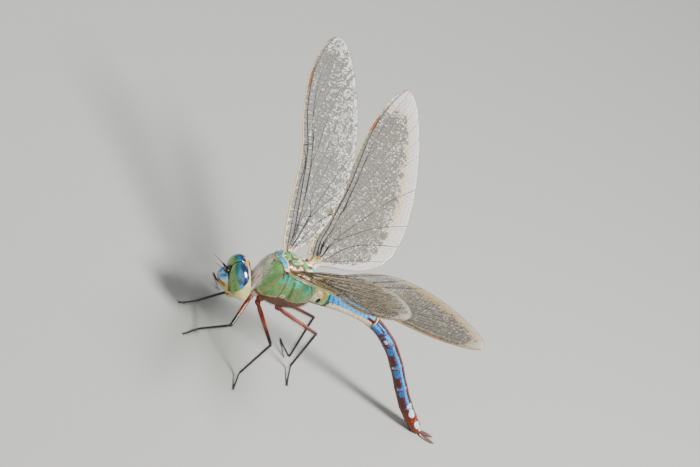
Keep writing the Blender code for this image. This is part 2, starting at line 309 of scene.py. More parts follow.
def new_group(name, inputs, outputs):
    """A shader node group with named sockets, and its two end nodes."""
    tree = bpy.data.node_groups.new(name, "ShaderNodeTree")
    for label, kind, value in inputs:
        socket = tree.interface.new_socket(label, in_out="INPUT", socket_type="NodeSocket" + kind)
        if value is not None:
            socket.default_value = value
    for label, kind in outputs:
        tree.interface.new_socket(label, in_out="OUTPUT", socket_type="NodeSocket" + kind)
    return tree, tree.nodes.new("NodeGroupInput").outputs, tree.nodes.new("NodeGroupOutput").inputs


print("a leaf green in linear numbers:", [round(v, 3) for v in tint(104, 146, 62)])

# %% [markdown]
# Two effects are used by nearly every plate. `mark` lays one colour over another inside a
# patch, with an edge that wanders a little, as pigment under the cuticle does. `cuticle` gives
# the fine life of the surface: blotches, tiny pits for the bump, and a roughness that varies.

# %% The mark and cuticle groups
mark_tree, i, o = new_group("mark", [
    ("Under", "Color", (0, 0, 0, 1)), ("Over", "Color", (1, 1, 1, 1)), ("Inside", "Float", 0.0),
    ("Soft", "Float", 0.05), ("Ragged", "Float", 0.05), ("Grain", "Float", 2.0),
    ("Place", "Vector", None)], [("Colour", "Color"), ("Share", "Float")])
wander = put(mark_tree, "ShaderNodeTexNoise", {"Vector": i["Place"], "Scale": i["Grain"],
                                               "Detail": 3.0}).outputs[0]
offset = sums(mark_tree, "MULTIPLY", sums(mark_tree, "SUBTRACT", wander, 0.5),
              sums(mark_tree, "MULTIPLY", i["Ragged"], 4.0))
edge = put(mark_tree, "ShaderNodeMapRange", {
    "Value": sums(mark_tree, "ADD", i["Inside"], offset), "From Max": i["Soft"],
    "From Min": sums(mark_tree, "MULTIPLY", i["Soft"], -1.0)}, interpolation_type="SMOOTHSTEP")
mark_tree.links.new(edge.outputs[0], o["Share"])
mark_tree.links.new(blend(mark_tree, edge.outputs[0], i["Under"], i["Over"]), o["Colour"])

cuticle_tree, i, o = new_group("cuticle", [
    ("Colour", "Color", (0.5, 0.5, 0.5, 1)), ("Place", "Vector", None), ("Blotch", "Float", 1.2),
    ("Variation", "Float", 0.25), ("Pits", "Float", 9.0), ("Smoothest", "Float", 0.25),
    ("Roughest", "Float", 0.5)], [("Colour", "Color"), ("Roughness", "Float"),
                                  ("Height", "Float")])
cloud = put(cuticle_tree, "ShaderNodeTexNoise", {"Vector": i["Place"], "Scale": i["Blotch"],
                                                 "Detail": 5.0, "Roughness": 0.6}).outputs[0]
strength = sums(cuticle_tree, "MULTIPLY_ADD", sums(cuticle_tree, "SUBTRACT", cloud, 0.5),
                sums(cuticle_tree, "MULTIPLY", i["Variation"], 4.0), 1.0)
shaded = put(cuticle_tree, "ShaderNodeVectorMath", {0: i["Colour"], "Scale": strength},
             operation="SCALE").outputs[0]
pits = put(cuticle_tree, "ShaderNodeTexVoronoi", {"Vector": i["Place"], "Scale": i["Pits"]},
           feature="F1").outputs[0]
fine = put(cuticle_tree, "ShaderNodeTexNoise", {"Vector": i["Place"], "Scale": i["Pits"],
                                                "Detail": 2.0}).outputs[0]
rough = put(cuticle_tree, "ShaderNodeMapRange", {"Value": fine, "From Min": 0.3, "From Max": 0.7,
                                                 "To Min": i["Smoothest"],
                                                 "To Max": i["Roughest"]})
cuticle_tree.links.new(shaded, o["Colour"])
cuticle_tree.links.new(rough.outputs[0], o["Roughness"])
cuticle_tree.links.new(sums(cuticle_tree, "ADD", sums(cuticle_tree, "MULTIPLY", pits, 0.5), fine),
                       o["Height"])
print("groups:", mark_tree.name, cuticle_tree.name)

# %% [markdown]
# `plate_finish` builds a whole material: a base colour, any number of marks over it, the
# cuticle, and one glossy shader. Patterns read the piece's own coordinates in millimetres.

# %% The finish of a plate
MARK_GRAIN = 2.2  # how finely the edges of marks wander, per millimetre
PIT_DEPTH = 0.03 * MM


def grouped(tree, group, inputs):
    """Places a node group and gives back its outputs."""
    return put(tree, "ShaderNodeGroup", inputs, node_tree=group).outputs


def own_place(tree):
    """The piece's own coordinates, in millimetres."""
    place = put(tree, "ShaderNodeTexCoord").outputs["Object"]
    return put(tree, "ShaderNodeMapping", {"Vector": place, "Scale": (1 / MM,) * 3}).outputs[0]


def reading(tree, label):
    """A mark of the mesh, as a number."""
    return put(tree, "ShaderNodeAttribute", attribute_name=label).outputs["Fac"]


def plate_finish(name, base, marks=(), blotch=1.2, variation=0.2, pits=9.0, smooth=(0.28, 0.5),
                 bump=0.25, **shine):
    """A material. Each mark is (its name on the mesh, colour, softness, raggedness)."""
    material = bpy.data.materials.new(name)
    material.use_nodes = True
    tree = material.node_tree
    shader = tree.nodes["Principled BSDF"]
    place = own_place(tree)
    colour = base
    for label, over, soft, ragged in marks:
        colour = grouped(tree, mark_tree, {
            "Under": colour, "Over": over, "Inside": reading(tree, label), "Soft": soft,
            "Ragged": ragged, "Grain": MARK_GRAIN, "Place": place})["Colour"]
    skin = grouped(tree, cuticle_tree, {
        "Colour": colour, "Place": place, "Blotch": blotch, "Variation": variation, "Pits": pits,
        "Smoothest": smooth[0], "Roughest": smooth[1]})
    tree.links.new(skin["Colour"], shader.inputs["Base Color"])
    tree.links.new(skin["Roughness"], shader.inputs["Roughness"])
    relief = put(tree, "ShaderNodeBump", {"Height": skin["Height"], "Strength": bump,
                                          "Distance": PIT_DEPTH})
    tree.links.new(relief.outputs[0], shader.inputs["Normal"])
    for socket, value in shine.items():
        shader.inputs[socket.replace("_", " ")].default_value = value
    return material


print("edges of marks wander", MARK_GRAIN, "times a millimetre")

# %% [markdown]
# The insect stands on a plain pale floor of matt paper, which takes its shadow and gives some
# light back to its underside.

# %% Floor
FLOOR_REACH = 3  # metres from the middle to each side
floor_mesh = bpy.data.meshes.new("floor")
floor_mesh.from_pydata([(x * FLOOR_REACH, y * FLOOR_REACH, 0) for x, y in (
    (-1, -1), (1, -1), (1, 1), (-1, 1))], [], [(0, 1, 2, 3)])
floor = bpy.data.objects.new("floor", floor_mesh)
bpy.context.scene.collection.objects.link(floor)
paper = bpy.data.materials.new("paper")
paper.use_nodes = True
paper_tree = paper.node_tree
fibre = put(paper_tree, "ShaderNodeTexNoise", {
    "Vector": put(paper_tree, "ShaderNodeTexCoord").outputs["Object"], "Scale": 900.0})
paper_colour = blend(paper_tree, fibre.outputs[0], tint(168, 169, 166), tint(175, 175, 173))
paper_shader = paper_tree.nodes["Principled BSDF"]
paper_tree.links.new(paper_colour, paper_shader.inputs["Base Color"])
paper_shader.inputs["Roughness"].default_value = 0.9
floor_mesh.materials.append(paper)
floor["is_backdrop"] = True
print("floor", 2 * FLOOR_REACH, "m wide")

# %% [markdown]
# The camera looks down at the insect's left side with a long lens, turned well over to one
# side, as if the slope that it sits on were level. Its place is told from the body: how far
# the middle of the view lies to the right of it and above it, and how far off the camera is.

# %% Camera
LENS_RIGHT = Vector((0.7325, -0.1503, 0.6639)).normalized()
LENS_UP = Vector((-0.4151, 0.6744, 0.6107))
LENS_UP = (LENS_UP - LENS_RIGHT * LENS_UP.dot(LENS_RIGHT)).normalized()
LENS_BACK = LENS_RIGHT.cross(LENS_UP)
BODY_ORIGIN = Vector((-CENTRE_X, -CENTRE_Y, BODY_HEIGHT)) * MM
FRAME_RIGHT, FRAME_UP, DISTANCE = 13.86 * MM, 9.95 * MM, 600 * MM
FRAME_WIDTH = 144.2 * MM  # what the view takes in at the body
SENSOR = 36.0

lens = bpy.data.cameras.new("camera")
lens.sensor_width = SENSOR
lens.lens = SENSOR * DISTANCE / FRAME_WIDTH
lens.clip_start, lens.clip_end = 0.01, 10.0
camera = bpy.data.objects.new("camera", lens)
bpy.context.scene.collection.objects.link(camera)
eye_point = BODY_ORIGIN + LENS_RIGHT * FRAME_RIGHT + LENS_UP * FRAME_UP + LENS_BACK * DISTANCE
turned = Matrix((LENS_RIGHT, LENS_UP, LENS_BACK)).transposed()
camera.matrix_world = Matrix.Translation(eye_point) @ turned.to_4x4()
bpy.context.scene.camera = camera
print("lens", round(lens.lens, 1), "mm, camera height", round(eye_point.z, 3), "m")

# %% [markdown]
# One lamp above the back is the sun through thin cloud, a wide one on the left opens up the
# shadows, and a weak one behind lights the far wings. The room itself glows a little.

# %% Lamps
LAMPS = {  # direction from the insect, distance and size in metres, watts, colour
    "sun_through_cloud": ((0.34, -0.38, 0.88), 0.6, 0.20, 10.5, (1.0, 0.98, 0.94)),
    "left_fill": ((-0.45, -0.80, 0.62), 1.2, 1.6, 7.5, (0.93, 0.96, 1.0)),
    "back_fill": ((0.75, 0.60, 0.45), 0.8, 0.6, 2.4, (1.0, 1.0, 1.0))}
LIT_HEIGHT = 22 * MM
ROOM_COLOUR, ROOM_GLOW = (0.86, 0.89, 0.93, 1), 0.34


def soft_lamp(name, direction, distance, size, power, colour):
    """A square lamp that shines on the middle of the insect."""
    lamp = bpy.data.lights.new(name, "AREA")
    lamp.shape, lamp.size, lamp.energy, lamp.color = "SQUARE", size, power, colour
    holder = bpy.data.objects.new(name, lamp)
    bpy.context.scene.collection.objects.link(holder)
    away = Vector(direction).normalized()
    holder.location = Vector((0, 0, LIT_HEIGHT)) + away * distance
    holder.rotation_euler = away.to_track_quat("Z", "Y").to_euler()


for name, setting in LAMPS.items():
    soft_lamp(name, *setting)

world = bpy.data.worlds.new("pale_room")
world.use_nodes = True
glow = world.node_tree.nodes["Background"].inputs
glow["Color"].default_value = ROOM_COLOUR
glow["Strength"].default_value = ROOM_GLOW
bpy.context.scene.world = world
print(len(LAMPS), "lamps")

# %% [markdown]
# ## Eyes
# Each compound eye is a leaning egg whose flat inner side meets the other eye in a seam. It is
# made from a fine ball, pressed flat at the seam and at the rear with a soft corner. Places on
# it are told by `forward` and by `turn`, an angle about the forward axis: 0 degrees is the top
# and 90 the outer side.

# %% Eye shape
EYE_AT = np.array((-0.1, 2.05, 0.15))
EYE_RADII = np.array((2.45, 2.6, 4.1))
EYE_LEAN = math.radians(25)
EYE_SEAM, EYE_BACK = 0.06, -2.1  # where the eye is cut off at its inner side and at its rear


def softly_above(values, limit, corner=0.16):
    """Values kept above a limit, with a rounded corner."""
    over = values - limit
    return limit + 0.5 * (over + np.sqrt(over**2 + corner**2)) - corner / 8


def eye_shape(side):
    """Points in the head's directions and faces of one eye."""
    points, faces = ball(6)
    points = points * EYE_RADII
    c, s = math.cos(EYE_LEAN), math.sin(EYE_LEAN)
    across, up = points[:, 1] * c - points[:, 2] * s, points[:, 1] * s + points[:, 2] * c
    forward = softly_above(points[:, 0] + EYE_AT[0], EYE_BACK)
    across = softly_above(across + EYE_AT[1], EYE_SEAM, corner=0.1)
    return np.stack([forward, across * side, up + EYE_AT[2]], 1), faces


print("an eye has", len(eye_shape(1)[1]), "faces")

# %% [markdown]
# A blue leaf-shaped field covers the top and rear of each eye, with teal in front of navy, a
# green band lies before it with a few dark spots, and the lower rear is cream. The edges of
# these fields are curves of `forward` against `turn`, so the same curves serve both eyes.

# %% Eye markings
LEAF_FRONT = ((-70, -60, -30, 0, 31, 60, 76, 86), (-0.9, -0.7, 0.1, 1.0, 0.85, 0.5, 0.3, 0.0))
LEAF_REAR = ((-70, 0, 40, 58, 72, 86), (-1.85, -1.8, -1.7, -1.2, -0.6, 0.0))
LEAF_END = 86  # the turn where both edges of the leaf meet in its tip
GREEN_REAR = ((-70, 40, 70, 86, 95, 110, 140), (-0.9, -0.6, -0.3, 0.1, 0.8, 1.25, 1.6))
GREEN_END = 140
DARK_SPOTS = ((1.62, 42, 0.18), (1.30, 70, 0.17), (1.05, 93, 0.22))  # forward, turn, radius
SWIRL_AT, SWIRL_TURN = 0.35, 52  # a darker cloud inside the leaf
RIM_WIDE, SEAM_WIDE = 0.34, 0.10


def eye_marks(points, side):
    """How far each point lies inside the eye's coloured fields."""
    forward, across, up = points[:, 0], points[:, 1] * side, points[:, 2]
    turn = np.degrees(np.arctan2(across - EYE_AT[1], up - EYE_AT[2]))
    turn = np.where(turn < -110, 180, turn)
    front, rear = curve_through(*LEAF_FRONT, turn), curve_through(*LEAF_REAR, turn)
    leaf = np.where(turn > LEAF_END, -(turn - LEAF_END + 2) * 0.05,
                    np.minimum(front - forward, forward - rear))
    green = forward - curve_through(*GREEN_REAR, turn)
    spots = np.full(len(points), FAR_OUTSIDE)
    for at, angle, size in DARK_SPOTS:
        away = np.hypot(forward - at, np.radians(turn - angle) * 3.2)
        spots = np.maximum(spots, size - away)
    deep = np.clip((front - forward) / np.maximum(front - rear, 0.3), -1, 2)
    swirl = 0.55 - np.hypot((forward - SWIRL_AT) / 1.1, np.radians(turn - SWIRL_TURN) * 2.2)
    deep_edge = 0.42 - 0.10 * np.cos(np.radians(turn * 4))
    low = (turn - 64) * 0.045 - np.maximum(0, -0.2 - forward) * 0.8
    return dict(leaf=leaf, green=np.where(turn > GREEN_END, -1.0, green), spot=spots,
                rim=EYE_BACK + RIM_WIDE - forward, meeting=EYE_SEAM + SEAM_WIDE - across,
                deepleaf=np.minimum(leaf, deep - deep_edge),
                tealleaf=np.minimum(leaf, 0.30 - deep), swirlleaf=np.minimum(leaf, swirl),
                lowleaf=np.minimum(leaf, low))


eye_finish = plate_finish(
    "eye", tint(232, 226, 170),
    [("green", tint(104, 146, 62), 0.35, 0.10), ("spot", tint(16, 40, 30), 0.08, 0.02),
     ("leaf", tint(6, 96, 152), 0.10, 0.03), ("deepleaf", tint(2, 28, 66), 0.26, 0.14),
     ("tealleaf", tint(6, 108, 104), 0.2, 0.2), ("swirlleaf", tint(4, 44, 60), 0.35, 0.3),
     ("lowleaf", tint(10, 130, 190), 0.25, 0.08), ("rim", tint(240, 236, 222), 0.08, 0.02),
     ("meeting", tint(16, 34, 30), 0.06, 0.01)],
    blotch=0.9, variation=0.10, pits=22.0, smooth=(0.12, 0.2), bump=0.10,
    Coat_Weight=1.0, Coat_Roughness=0.06, Coat_IOR=1.6)

for side, label in ((1, "left"), (-1, "right")):
    eye = Shells()
    places, faces = eye_shape(side)
    eye.add(from_head(places), faces, **eye_marks(places, side))
    eye.make(f"eye_{label}", [eye_finish], "eye", f"eye_{label}")

# %% [markdown]
# ## Face
# Seen from the front, a dragonfly's face is a stack of plates. The frons bulges forward under
# the antennae like a nose, and below it come the clypeus, in two steps, and the upper lip. One
# loft from the lip up to the crown makes them all. Grooves between the plates are pressed into
# its profile.

# %% Face shape
# Each row of FACE is a height, how far forward the face reaches there, and its half width.
FACE = np.array(((-3.5, 2.8, 1.8), (-2.6, 3.42, 2.0), (-1.4, 3.98, 2.1), (-0.5, 4.35, 2.15),
                 (0.25, 4.4, 2.1), (0.85, 4.0, 2.0), (1.35, 3.1, 1.75), (1.6, 2.2, 1.3)))
FACE_REAR = -0.6
PLATE_GROOVES = (-2.62, -2.12, -0.72)
PLATE_EDGES = (-3.5, *PLATE_GROOVES, 1.6)
PLATE_SWELL, GROOVE_DEPTH, GROOVE_WIDE = 0.13, 0.09, 0.06
FACE_SQUARE = 2 / 2.8  # the power that squares off the ovals of the face

heights = np.linspace(FACE[0, 0], FACE[-1, 0], 100)
profile = curve_through(FACE[:, 0], FACE[:, 1:], heights)
swell = np.zeros(len(heights))
for low, high in zip(PLATE_EDGES, PLATE_EDGES[1:]):
    inside = np.clip((heights - low) / (high - low), 0, 1)
    swell += PLATE_SWELL * np.sin(math.pi * inside) ** 0.6 * (high < 1.5)
for groove in PLATE_GROOVES:
    swell -= GROOVE_DEPTH * np.exp(-((heights - groove) / GROOVE_WIDE) ** 2)

turns = np.linspace(0, 2 * math.pi, 96, endpoint=False)
half_depth = (profile[:, 0] - FACE_REAR) / 2 + swell / 2
middle = (profile[:, 0] + FACE_REAR) / 2 + swell / 2
forward = middle[:, None] + half_depth[:, None] * signed_power(np.cos(turns), FACE_SQUARE)
across = (profile[:, 1] + swell * 0.6)[:, None] * signed_power(np.sin(turns), FACE_SQUARE)
notch = np.exp(-(across / 0.35) ** 2) * np.exp(-((heights[:, None] - 1.1) / 0.5) ** 2)
up = np.broadcast_to(heights[:, None], forward.shape) - 0.16 * notch
face_points, face_faces = loft(np.stack([forward, across, up], 2))
print("face", len(face_faces), "faces,", len(PLATE_GROOVES), "grooves")

# %% [markdown]
# The top of the frons is pale blue with two pairs of deeper blue spots, its front margin is
# ochre brown, the lower plates are cream, and the grooves and the edge of the lip are brown.

# %% Face markings and finish
f, l, u = face_points.T
top_edge = 0.62 - 0.28 * np.clip(np.abs(l) - 1.2, 0, 1) - 0.5 * np.clip(3.9 - f, 0, 0.9)
face_marks = dict(
    top=u - top_edge,
    sky=np.minimum(u - top_edge - 0.05, np.maximum(
        0.55 - np.hypot(f - 3.85, np.abs(l) - 0.75), 0.48 - np.hypot(f - 3.1, np.abs(l) - 1.15))),
    brow=np.minimum(0.62 - np.abs(u - top_edge + 0.56), f - 3.05),
    groove=0.045 - np.min([np.abs(u - g) for g in PLATE_GROOVES], axis=0),
    lip=0.12 - np.abs(u + 3.38),
    cheek=np.minimum(2.34 - f, u + 3.2) + 0.12)

face_finish = plate_finish(
    "face", tint(206, 190, 138),
    [("groove", tint(110, 70, 34), 0.04, 0.01), ("lip", tint(120, 66, 30), 0.1, 0.05),
     ("brow", tint(140, 104, 44), 0.16, 0.14), ("top", tint(196, 216, 226), 0.10, 0.06),
     ("sky", tint(78, 156, 224), 0.22, 0.16), ("cheek", tint(62, 40, 26), 0.1, 0.05)],
    blotch=1.8, variation=0.40, pits=10.0, smooth=(0.25, 0.4), bump=0.45,
    Coat_Weight=0.35, Coat_Roughness=0.15)
print("face marks:", *face_marks)

# %% [markdown]
# The rest of the head needs five more finishes: pale bone for the back of it, orange yellow
# for the occiput, black for the crown, yellow brown for the jaws, and glass for the three
# simple eyes. They keep the order in which the head's materials are listed.

# %% Finishes of the head
bone_finish = plate_finish(
    "skull", tint(206, 190, 140),
    [("dark", tint(38, 24, 18), 0.3, 0.2)], blotch=1.0, variation=0.3, smooth=(0.3, 0.5))
occiput_finish = plate_finish(
    "occiput", tint(242, 204, 84), [("dark", tint(52, 26, 14), 0.06, 0.03)],
    variation=0.15, smooth=(0.2, 0.35), Coat_Weight=0.4)
crown_finish = plate_finish("crown", tint(20, 15, 14), blotch=2.0, variation=0.3,
                            smooth=(0.15, 0.35), Coat_Weight=0.6, Coat_Roughness=0.1)
jaw_finish = plate_finish(
    "jaw", tint(206, 186, 138),
    [("dark", tint(92, 48, 24), 0.12, 0.06)], variation=0.2, smooth=(0.25, 0.4),
    Coat_Weight=0.3)
ocellus_finish = plate_finish("ocellus", tint(210, 196, 150), variation=0.05,
                              smooth=(0.08, 0.12), bump=0.02, Coat_Weight=1.0)
HEAD_FINISHES = [face_finish, bone_finish, occiput_finish, crown_finish, jaw_finish,
                 ocellus_finish]
FACE_SKIN, BONE, OCCIPUT, CROWN, JAW, OCELLUS = range(len(HEAD_FINISHES))
print(len(HEAD_FINISHES), "finishes on the head")

# %% [markdown]
# The back of the head is one shallow bowl that joins the plates and the eyes. Between the rear
# corners of the eyes sits a small orange-yellow triangle, the occiput, with a dark hind edge.
# Below the face are the jaws' yellow bases and the folded lower lip. They all overlap, as the
# real plates do, so they go into one piece that stands for the head and the mouthparts.

# %% Skull, crown and mouthparts
SKULL_AT, SKULL_RADII = np.array((-0.55, 0, -0.2)), np.array((2.2, 3.8, 3.6))
SKULL_FLOOR = -3.35  # it is cut off here, above the lower lip

head = Shells()
head.add(from_head(face_points), face_faces, FACE_SKIN, **face_marks)
round_points, round_faces = ball(5)
skull = round_points * SKULL_RADII + SKULL_AT
skull[:, 2] = np.maximum(skull[:, 2], SKULL_FLOOR + 0.02 * round_points[:, 2])
head.add(from_head(skull), round_faces, BONE,
         dark=np.minimum(-1.5 - skull[:, 0], 2.5 - np.hypot(skull[:, 1], skull[:, 2] + 0.4)))


def lump(shells, at, radii, finish, place, level=4, pinch=0.0, uneven=0.0, **marks):
    """An oval lump; pinch narrows it towards its front, and uneven dents it by chance."""
    points, faces = ball(level)
    waves = np.cos(points[:, 0] * 4.3 + at[0] * 5) * np.cos(points[:, 1] * 3.9 + at[1] * 3)
    points = points * np.array(radii) * (1 + uneven * waves[:, None])
    points[:, 1] *= 1 - pinch * points[:, 0] / radii[0]
    points = points + np.array(at)
    named = {key: rule(points) for key, rule in marks.items()}
    shells.add(place(points), faces, finish, **named)


# The occiput, then the crown behind the frons with its three simple eyes.
lump(head, (-1.55, 0, 2.86), (0.78, 0.80, 0.50), OCCIPUT, from_head, pinch=0.75,
     dark=lambda p: -1.95 - p[:, 0])
lump(head, (2.25, 0, 1.92), (0.62, 0.86, 0.42), CROWN, from_head)
lump(head, (1.75, 0, 2.2), (0.5, 0.5, 0.45), CROWN, from_head)
for at in ((2.86, 0, 1.86), (2.22, 0.70, 2.14), (2.22, -0.70, 2.14)):
    lump(head, at, (0.19, 0.21, 0.19), OCELLUS, from_head, 3)
# The jaws: an upper base, a blade and a side lobe of the lower lip on each side.
for side in (1, -1):
    lump(head, (1.95, 1.62 * side, -3.15), (1.0, 0.50, 0.72), JAW, from_head,
         dark=lambda p: 0.34 - np.hypot(p[:, 0] - 2.6, p[:, 2] + 3.3))
    lump(head, (1.85, 0.95 * side, -4.15), (1.05, 0.86, 0.80), JAW, from_head,
         dark=lambda p: p[:, 0] - 2.7)
    lump(head, (0.9, 1.35 * side, -4.05), (1.30, 0.62, 0.85), JAW, from_head)
lump(head, (0.85, 0, -4.6), (1.40, 1.10, 0.92), JAW, from_head,
     dark=lambda p: 0.05 - np.abs(p[:, 1]))
head.make("head", HEAD_FINISHES, "face", "head", "mouthparts")

# %% [markdown]
# A dragonfly's antennae are only bristles: two thick joints and then a hair that bends a little
# forward. A tube along a curved path is all that each one needs.

# %% Antennae
ANTENNA_LONG = 4.14
ANTENNA_BEND = np.array((0.35, 0, -0.2))
bristle_finish = plate_finish("bristle", tint(30, 22, 28), variation=0.3, smooth=(0.25, 0.4),
                              Coat_Weight=0.3)
for side, label in ((1, "left"), (-1, "right")):
    share = np.linspace(0, 1, 30)
    root, way = np.array((2.72, 0.95 * side, 1.92)), unit((0.50, 0.07 * side, 0.86))
    path = root + share[:, None] * way * ANTENNA_LONG + (share**2)[:, None] * ANTENNA_BEND
    waists = 0.05 * (np.abs(share - 0.09) < 0.03) + 0.04 * (np.abs(share - 0.17) < 0.03)
    wide = np.interp(share, (0, 0.05, 0.16, 0.24, 0.3, 1), (0.22, 0.25, 0.20, 0.15, 0.09, 0.03))
    antenna = Shells()
    bar_points, bar_faces = tube(path, wide - waists, 10)
    antenna.add(from_head(bar_points[:, :3]), bar_faces)
    antenna.make(f"antenna_{label}", [bristle_finish], "leg", f"antenna_{label}")

# %% [markdown]
# ## Thorax
# The thorax is a box of flight muscle, narrow at the neck and at the waist. The shell is a
# loft through ovals that are a little squared.

# %% Thorax shape
# Each row is a place along the body, the heights of back and belly there, and the half width.
THORAX = np.array((
    (5.95, 2.3, -2.0, 1.5), (5.75, 3.5, -2.7, 2.15), (5.3, 4.75, -3.3, 2.75),
    (4.5, 5.8, -3.8, 3.3), (3.5, 6.5, -4.2, 3.7),
    (2.2, 6.8, -4.6, 4.0), (0.8, 6.5, -4.8, 4.15), (-0.8, 6.0, -4.8, 4.2),
    (-2.4, 5.8, -4.5, 4.15), (-3.8, 5.4, -4.0, 3.9), (-5.0, 4.8, -3.4, 3.5),
    (-5.8, 4.0, -2.9, 3.0), (-6.3, 3.1, -2.4, 2.5)))[::-1]
stations = np.concatenate([np.linspace(-6.3, 4.8, 110), np.linspace(4.86, 5.95, 34)])
oval_sizes = curve_through(THORAX[:, 0], THORAX[:, 1:], stations)
turns = np.linspace(0, 2 * math.pi, 160, endpoint=False)
THORAX_SQUARE = 2 / 2.6
tall = (oval_sizes[:, 0] - oval_sizes[:, 1]) / 2
dorsal = ((oval_sizes[:, 0] + oval_sizes[:, 1]) / 2)[:, None] + (
    tall[:, None] * signed_power(np.cos(turns), THORAX_SQUARE))
left = oval_sizes[:, 2][:, None] * signed_power(np.sin(turns), THORAX_SQUARE)
rings = np.stack([np.broadcast_to(stations[:, None], left.shape), left, dorsal], 2)
thorax_points, thorax_faces = loft(rings)
print("thorax", len(thorax_faces), "faces")

# %% [markdown]
# Its plates slope backwards, so their seams run from low in front to high behind. Seams are
# pressed in and keels raised by the same distances that later place the colours, so that a
# line of colour always lies in its groove. Here `f`, `l` and `d` are how far forward, left and
# dorsal each point lies, and a seam is told by its distance from every point.

# %% Seams, keels and bulges
SEAM_RISE = 6.0  # a seam's two given places lie this far apart in height
PLEURA_START = 1.3  # half width where the side begins, and the side seams end
f, l, d = thorax_points.T
wide = np.abs(l)


def seam(front, low, high, top=9.0, bottom=-9.0):
    """Distance from a seam that passes (front, low) and leans back to high."""
    away = f - (front + (d - low) * (high - front) / SEAM_RISE)
    return np.abs(away) + np.maximum(0, d - top) + np.maximum(0, bottom - d)


inner = np.maximum(0, PLEURA_START - wide)
humeral = seam(4.46, -1.3, 3.05, 4.75, -2.6) + inner
middle_seam = seam(0.95, -2.1, 1.77, 4.7, -2.3) + inner
hind_seam = seam(-1.50, -0.7, -2.80, 4.0, -1.6) + inner
# Not a seam: a painted shadow line across the side, which is not pressed in.
painted_shadow_line = seam(-0.90, 0.02, 0.40, 3.5, -0.9) + inner
keel = wide + np.maximum(0, 3.2 - f) + np.maximum(0, 1.0 - d) * 0.5
shoulder = np.abs(f + 0.73 * wide - 5.44) * 0.8 + np.maximum(0, 3.6 - d)
crest = np.abs(f + 0.55 * wide - 4.05) * 0.87 + np.maximum(0, 4.9 - d) + np.maximum(0, wide - 3.1)
rear_edge = np.abs(f - (-5.65 + (d - 1.5) * 0.62)) * 0.85 + np.maximum(0, -1.2 - d)
wing_line = d - (5.06 + (f - 1.6) * 0.22)
low_line = curve_through((-6.3, -4, -2, 1, 2.6, 4, 5.5),
                         (-0.2, -0.7, -1.0, -0.9, -1.8, -2.6, -2.4), f)

outward = unit(np.stack([np.zeros_like(f), l / 4.0, (d - 1.0) / 5.5], 1))
press = np.zeros_like(f)
for distance, depth, width in ((humeral, 0.12, 0.10), (middle_seam, 0.09, 0.09),
                               (hind_seam, 0.12, 0.10), (rear_edge, 0.10, 0.12),
                               (keel, -0.14, 0.12), (crest, -0.20, 0.14), (shoulder, 0.07, 0.10)):
    press += depth * np.exp(-(distance / width) ** 2)
PANEL_BULGES = (  # height, place, lean, length, middle height and half height of each panel
    (0.16, 4.2, 0.23, 1.2, 1.5, 2.4), (0.10, 1.2, 0.24, 1.1, 1.2, 2.2),
    (0.14, -3.4, 0.24, 1.1, 1.2, 2.0))
bulge = np.zeros_like(f)
for height, at, lean, long, middle, tall in PANEL_BULGES:
    bulge += height * np.exp(-(((f - at + lean * d) / long) ** 2 + ((d - middle) / tall) ** 2))
shift = (bulge * (wide > 1.5) - press)[:, None] * outward
thorax_points = thorax_points + shift
print("deepest seam", round(float(press.max()), 3), "mm")

# %% [markdown]
# The markings: green panels, turquoise at the top of the side panels, a blue spot in front of
# each fore wing, pale keels, brown seams with a pale edge, and a brown, hairy underside. The
# dark breathing hole lies low on the side, in a pale patch. A darker green band across the side,
# between the middle and the hind seam, is a painted shadow line.

# %% Thorax markings
# They are laid out on the unpressed ovals, like the seams.
blue_spot = np.minimum.reduce([5.28 - (f + 0.73 * wide), (f + 0.55 * wide) - 4.2,
                               wide - 0.55, 2.85 - wide, d - 3.8])
high_side = np.minimum.reduce([d - 2.8, 4.9 - d, 2.95 - f - 0.235 * (d - 4.7), wide - 2.2])
turquoise = np.maximum(
    np.minimum(high_side, 1.3 - np.abs(f - 2.15 + 0.235 * (d - 3.4))),
    np.maximum(np.minimum(high_side, 1.0 - np.abs(f + 1.15 + 0.2 * (d - 3.4))),
               np.minimum(high_side + 0.6, 1.1 - np.abs(f + 3.9))))
spiracle = np.hypot((f - 0.62) / 1.3, d + 0.42) + np.maximum(0, 3 - wide)
pink_front = np.minimum(f - 5.45, 2.35 - np.hypot(l, d + 0.5))
thorax_marks = dict(
    venter=low_line - d, pale=np.maximum(0.46 - spiracle, 0.10 - np.abs(d - low_line)),
    turquoise=turquoise, wingzone=np.minimum(wing_line, 3.15 - f), notum=np.minimum(
        2.35 - wide, np.minimum(2.9 - f, d - 4.4)),
    seam=0.085 - np.min([humeral, middle_seam * 0.7, hind_seam * 1.1, shoulder * 0.9], axis=0),
    palesea=0.05 - np.min([np.abs(humeral - 0.15), np.abs(hind_seam - 0.16) * 1.1], axis=0),
    # The painted shadow line, darker green across the side.
    painted_shadow_line=0.30 - painted_shadow_line,
    spot=blue_spot, keel=0.13 - np.minimum(keel, crest), rear=0.14 - rear_edge,
    front=pink_front, breath=0.22 - spiracle)
print("thorax marks:", *thorax_marks)

# %% [markdown]
# One finish takes all these marks in turn, the later ones over the earlier ones.

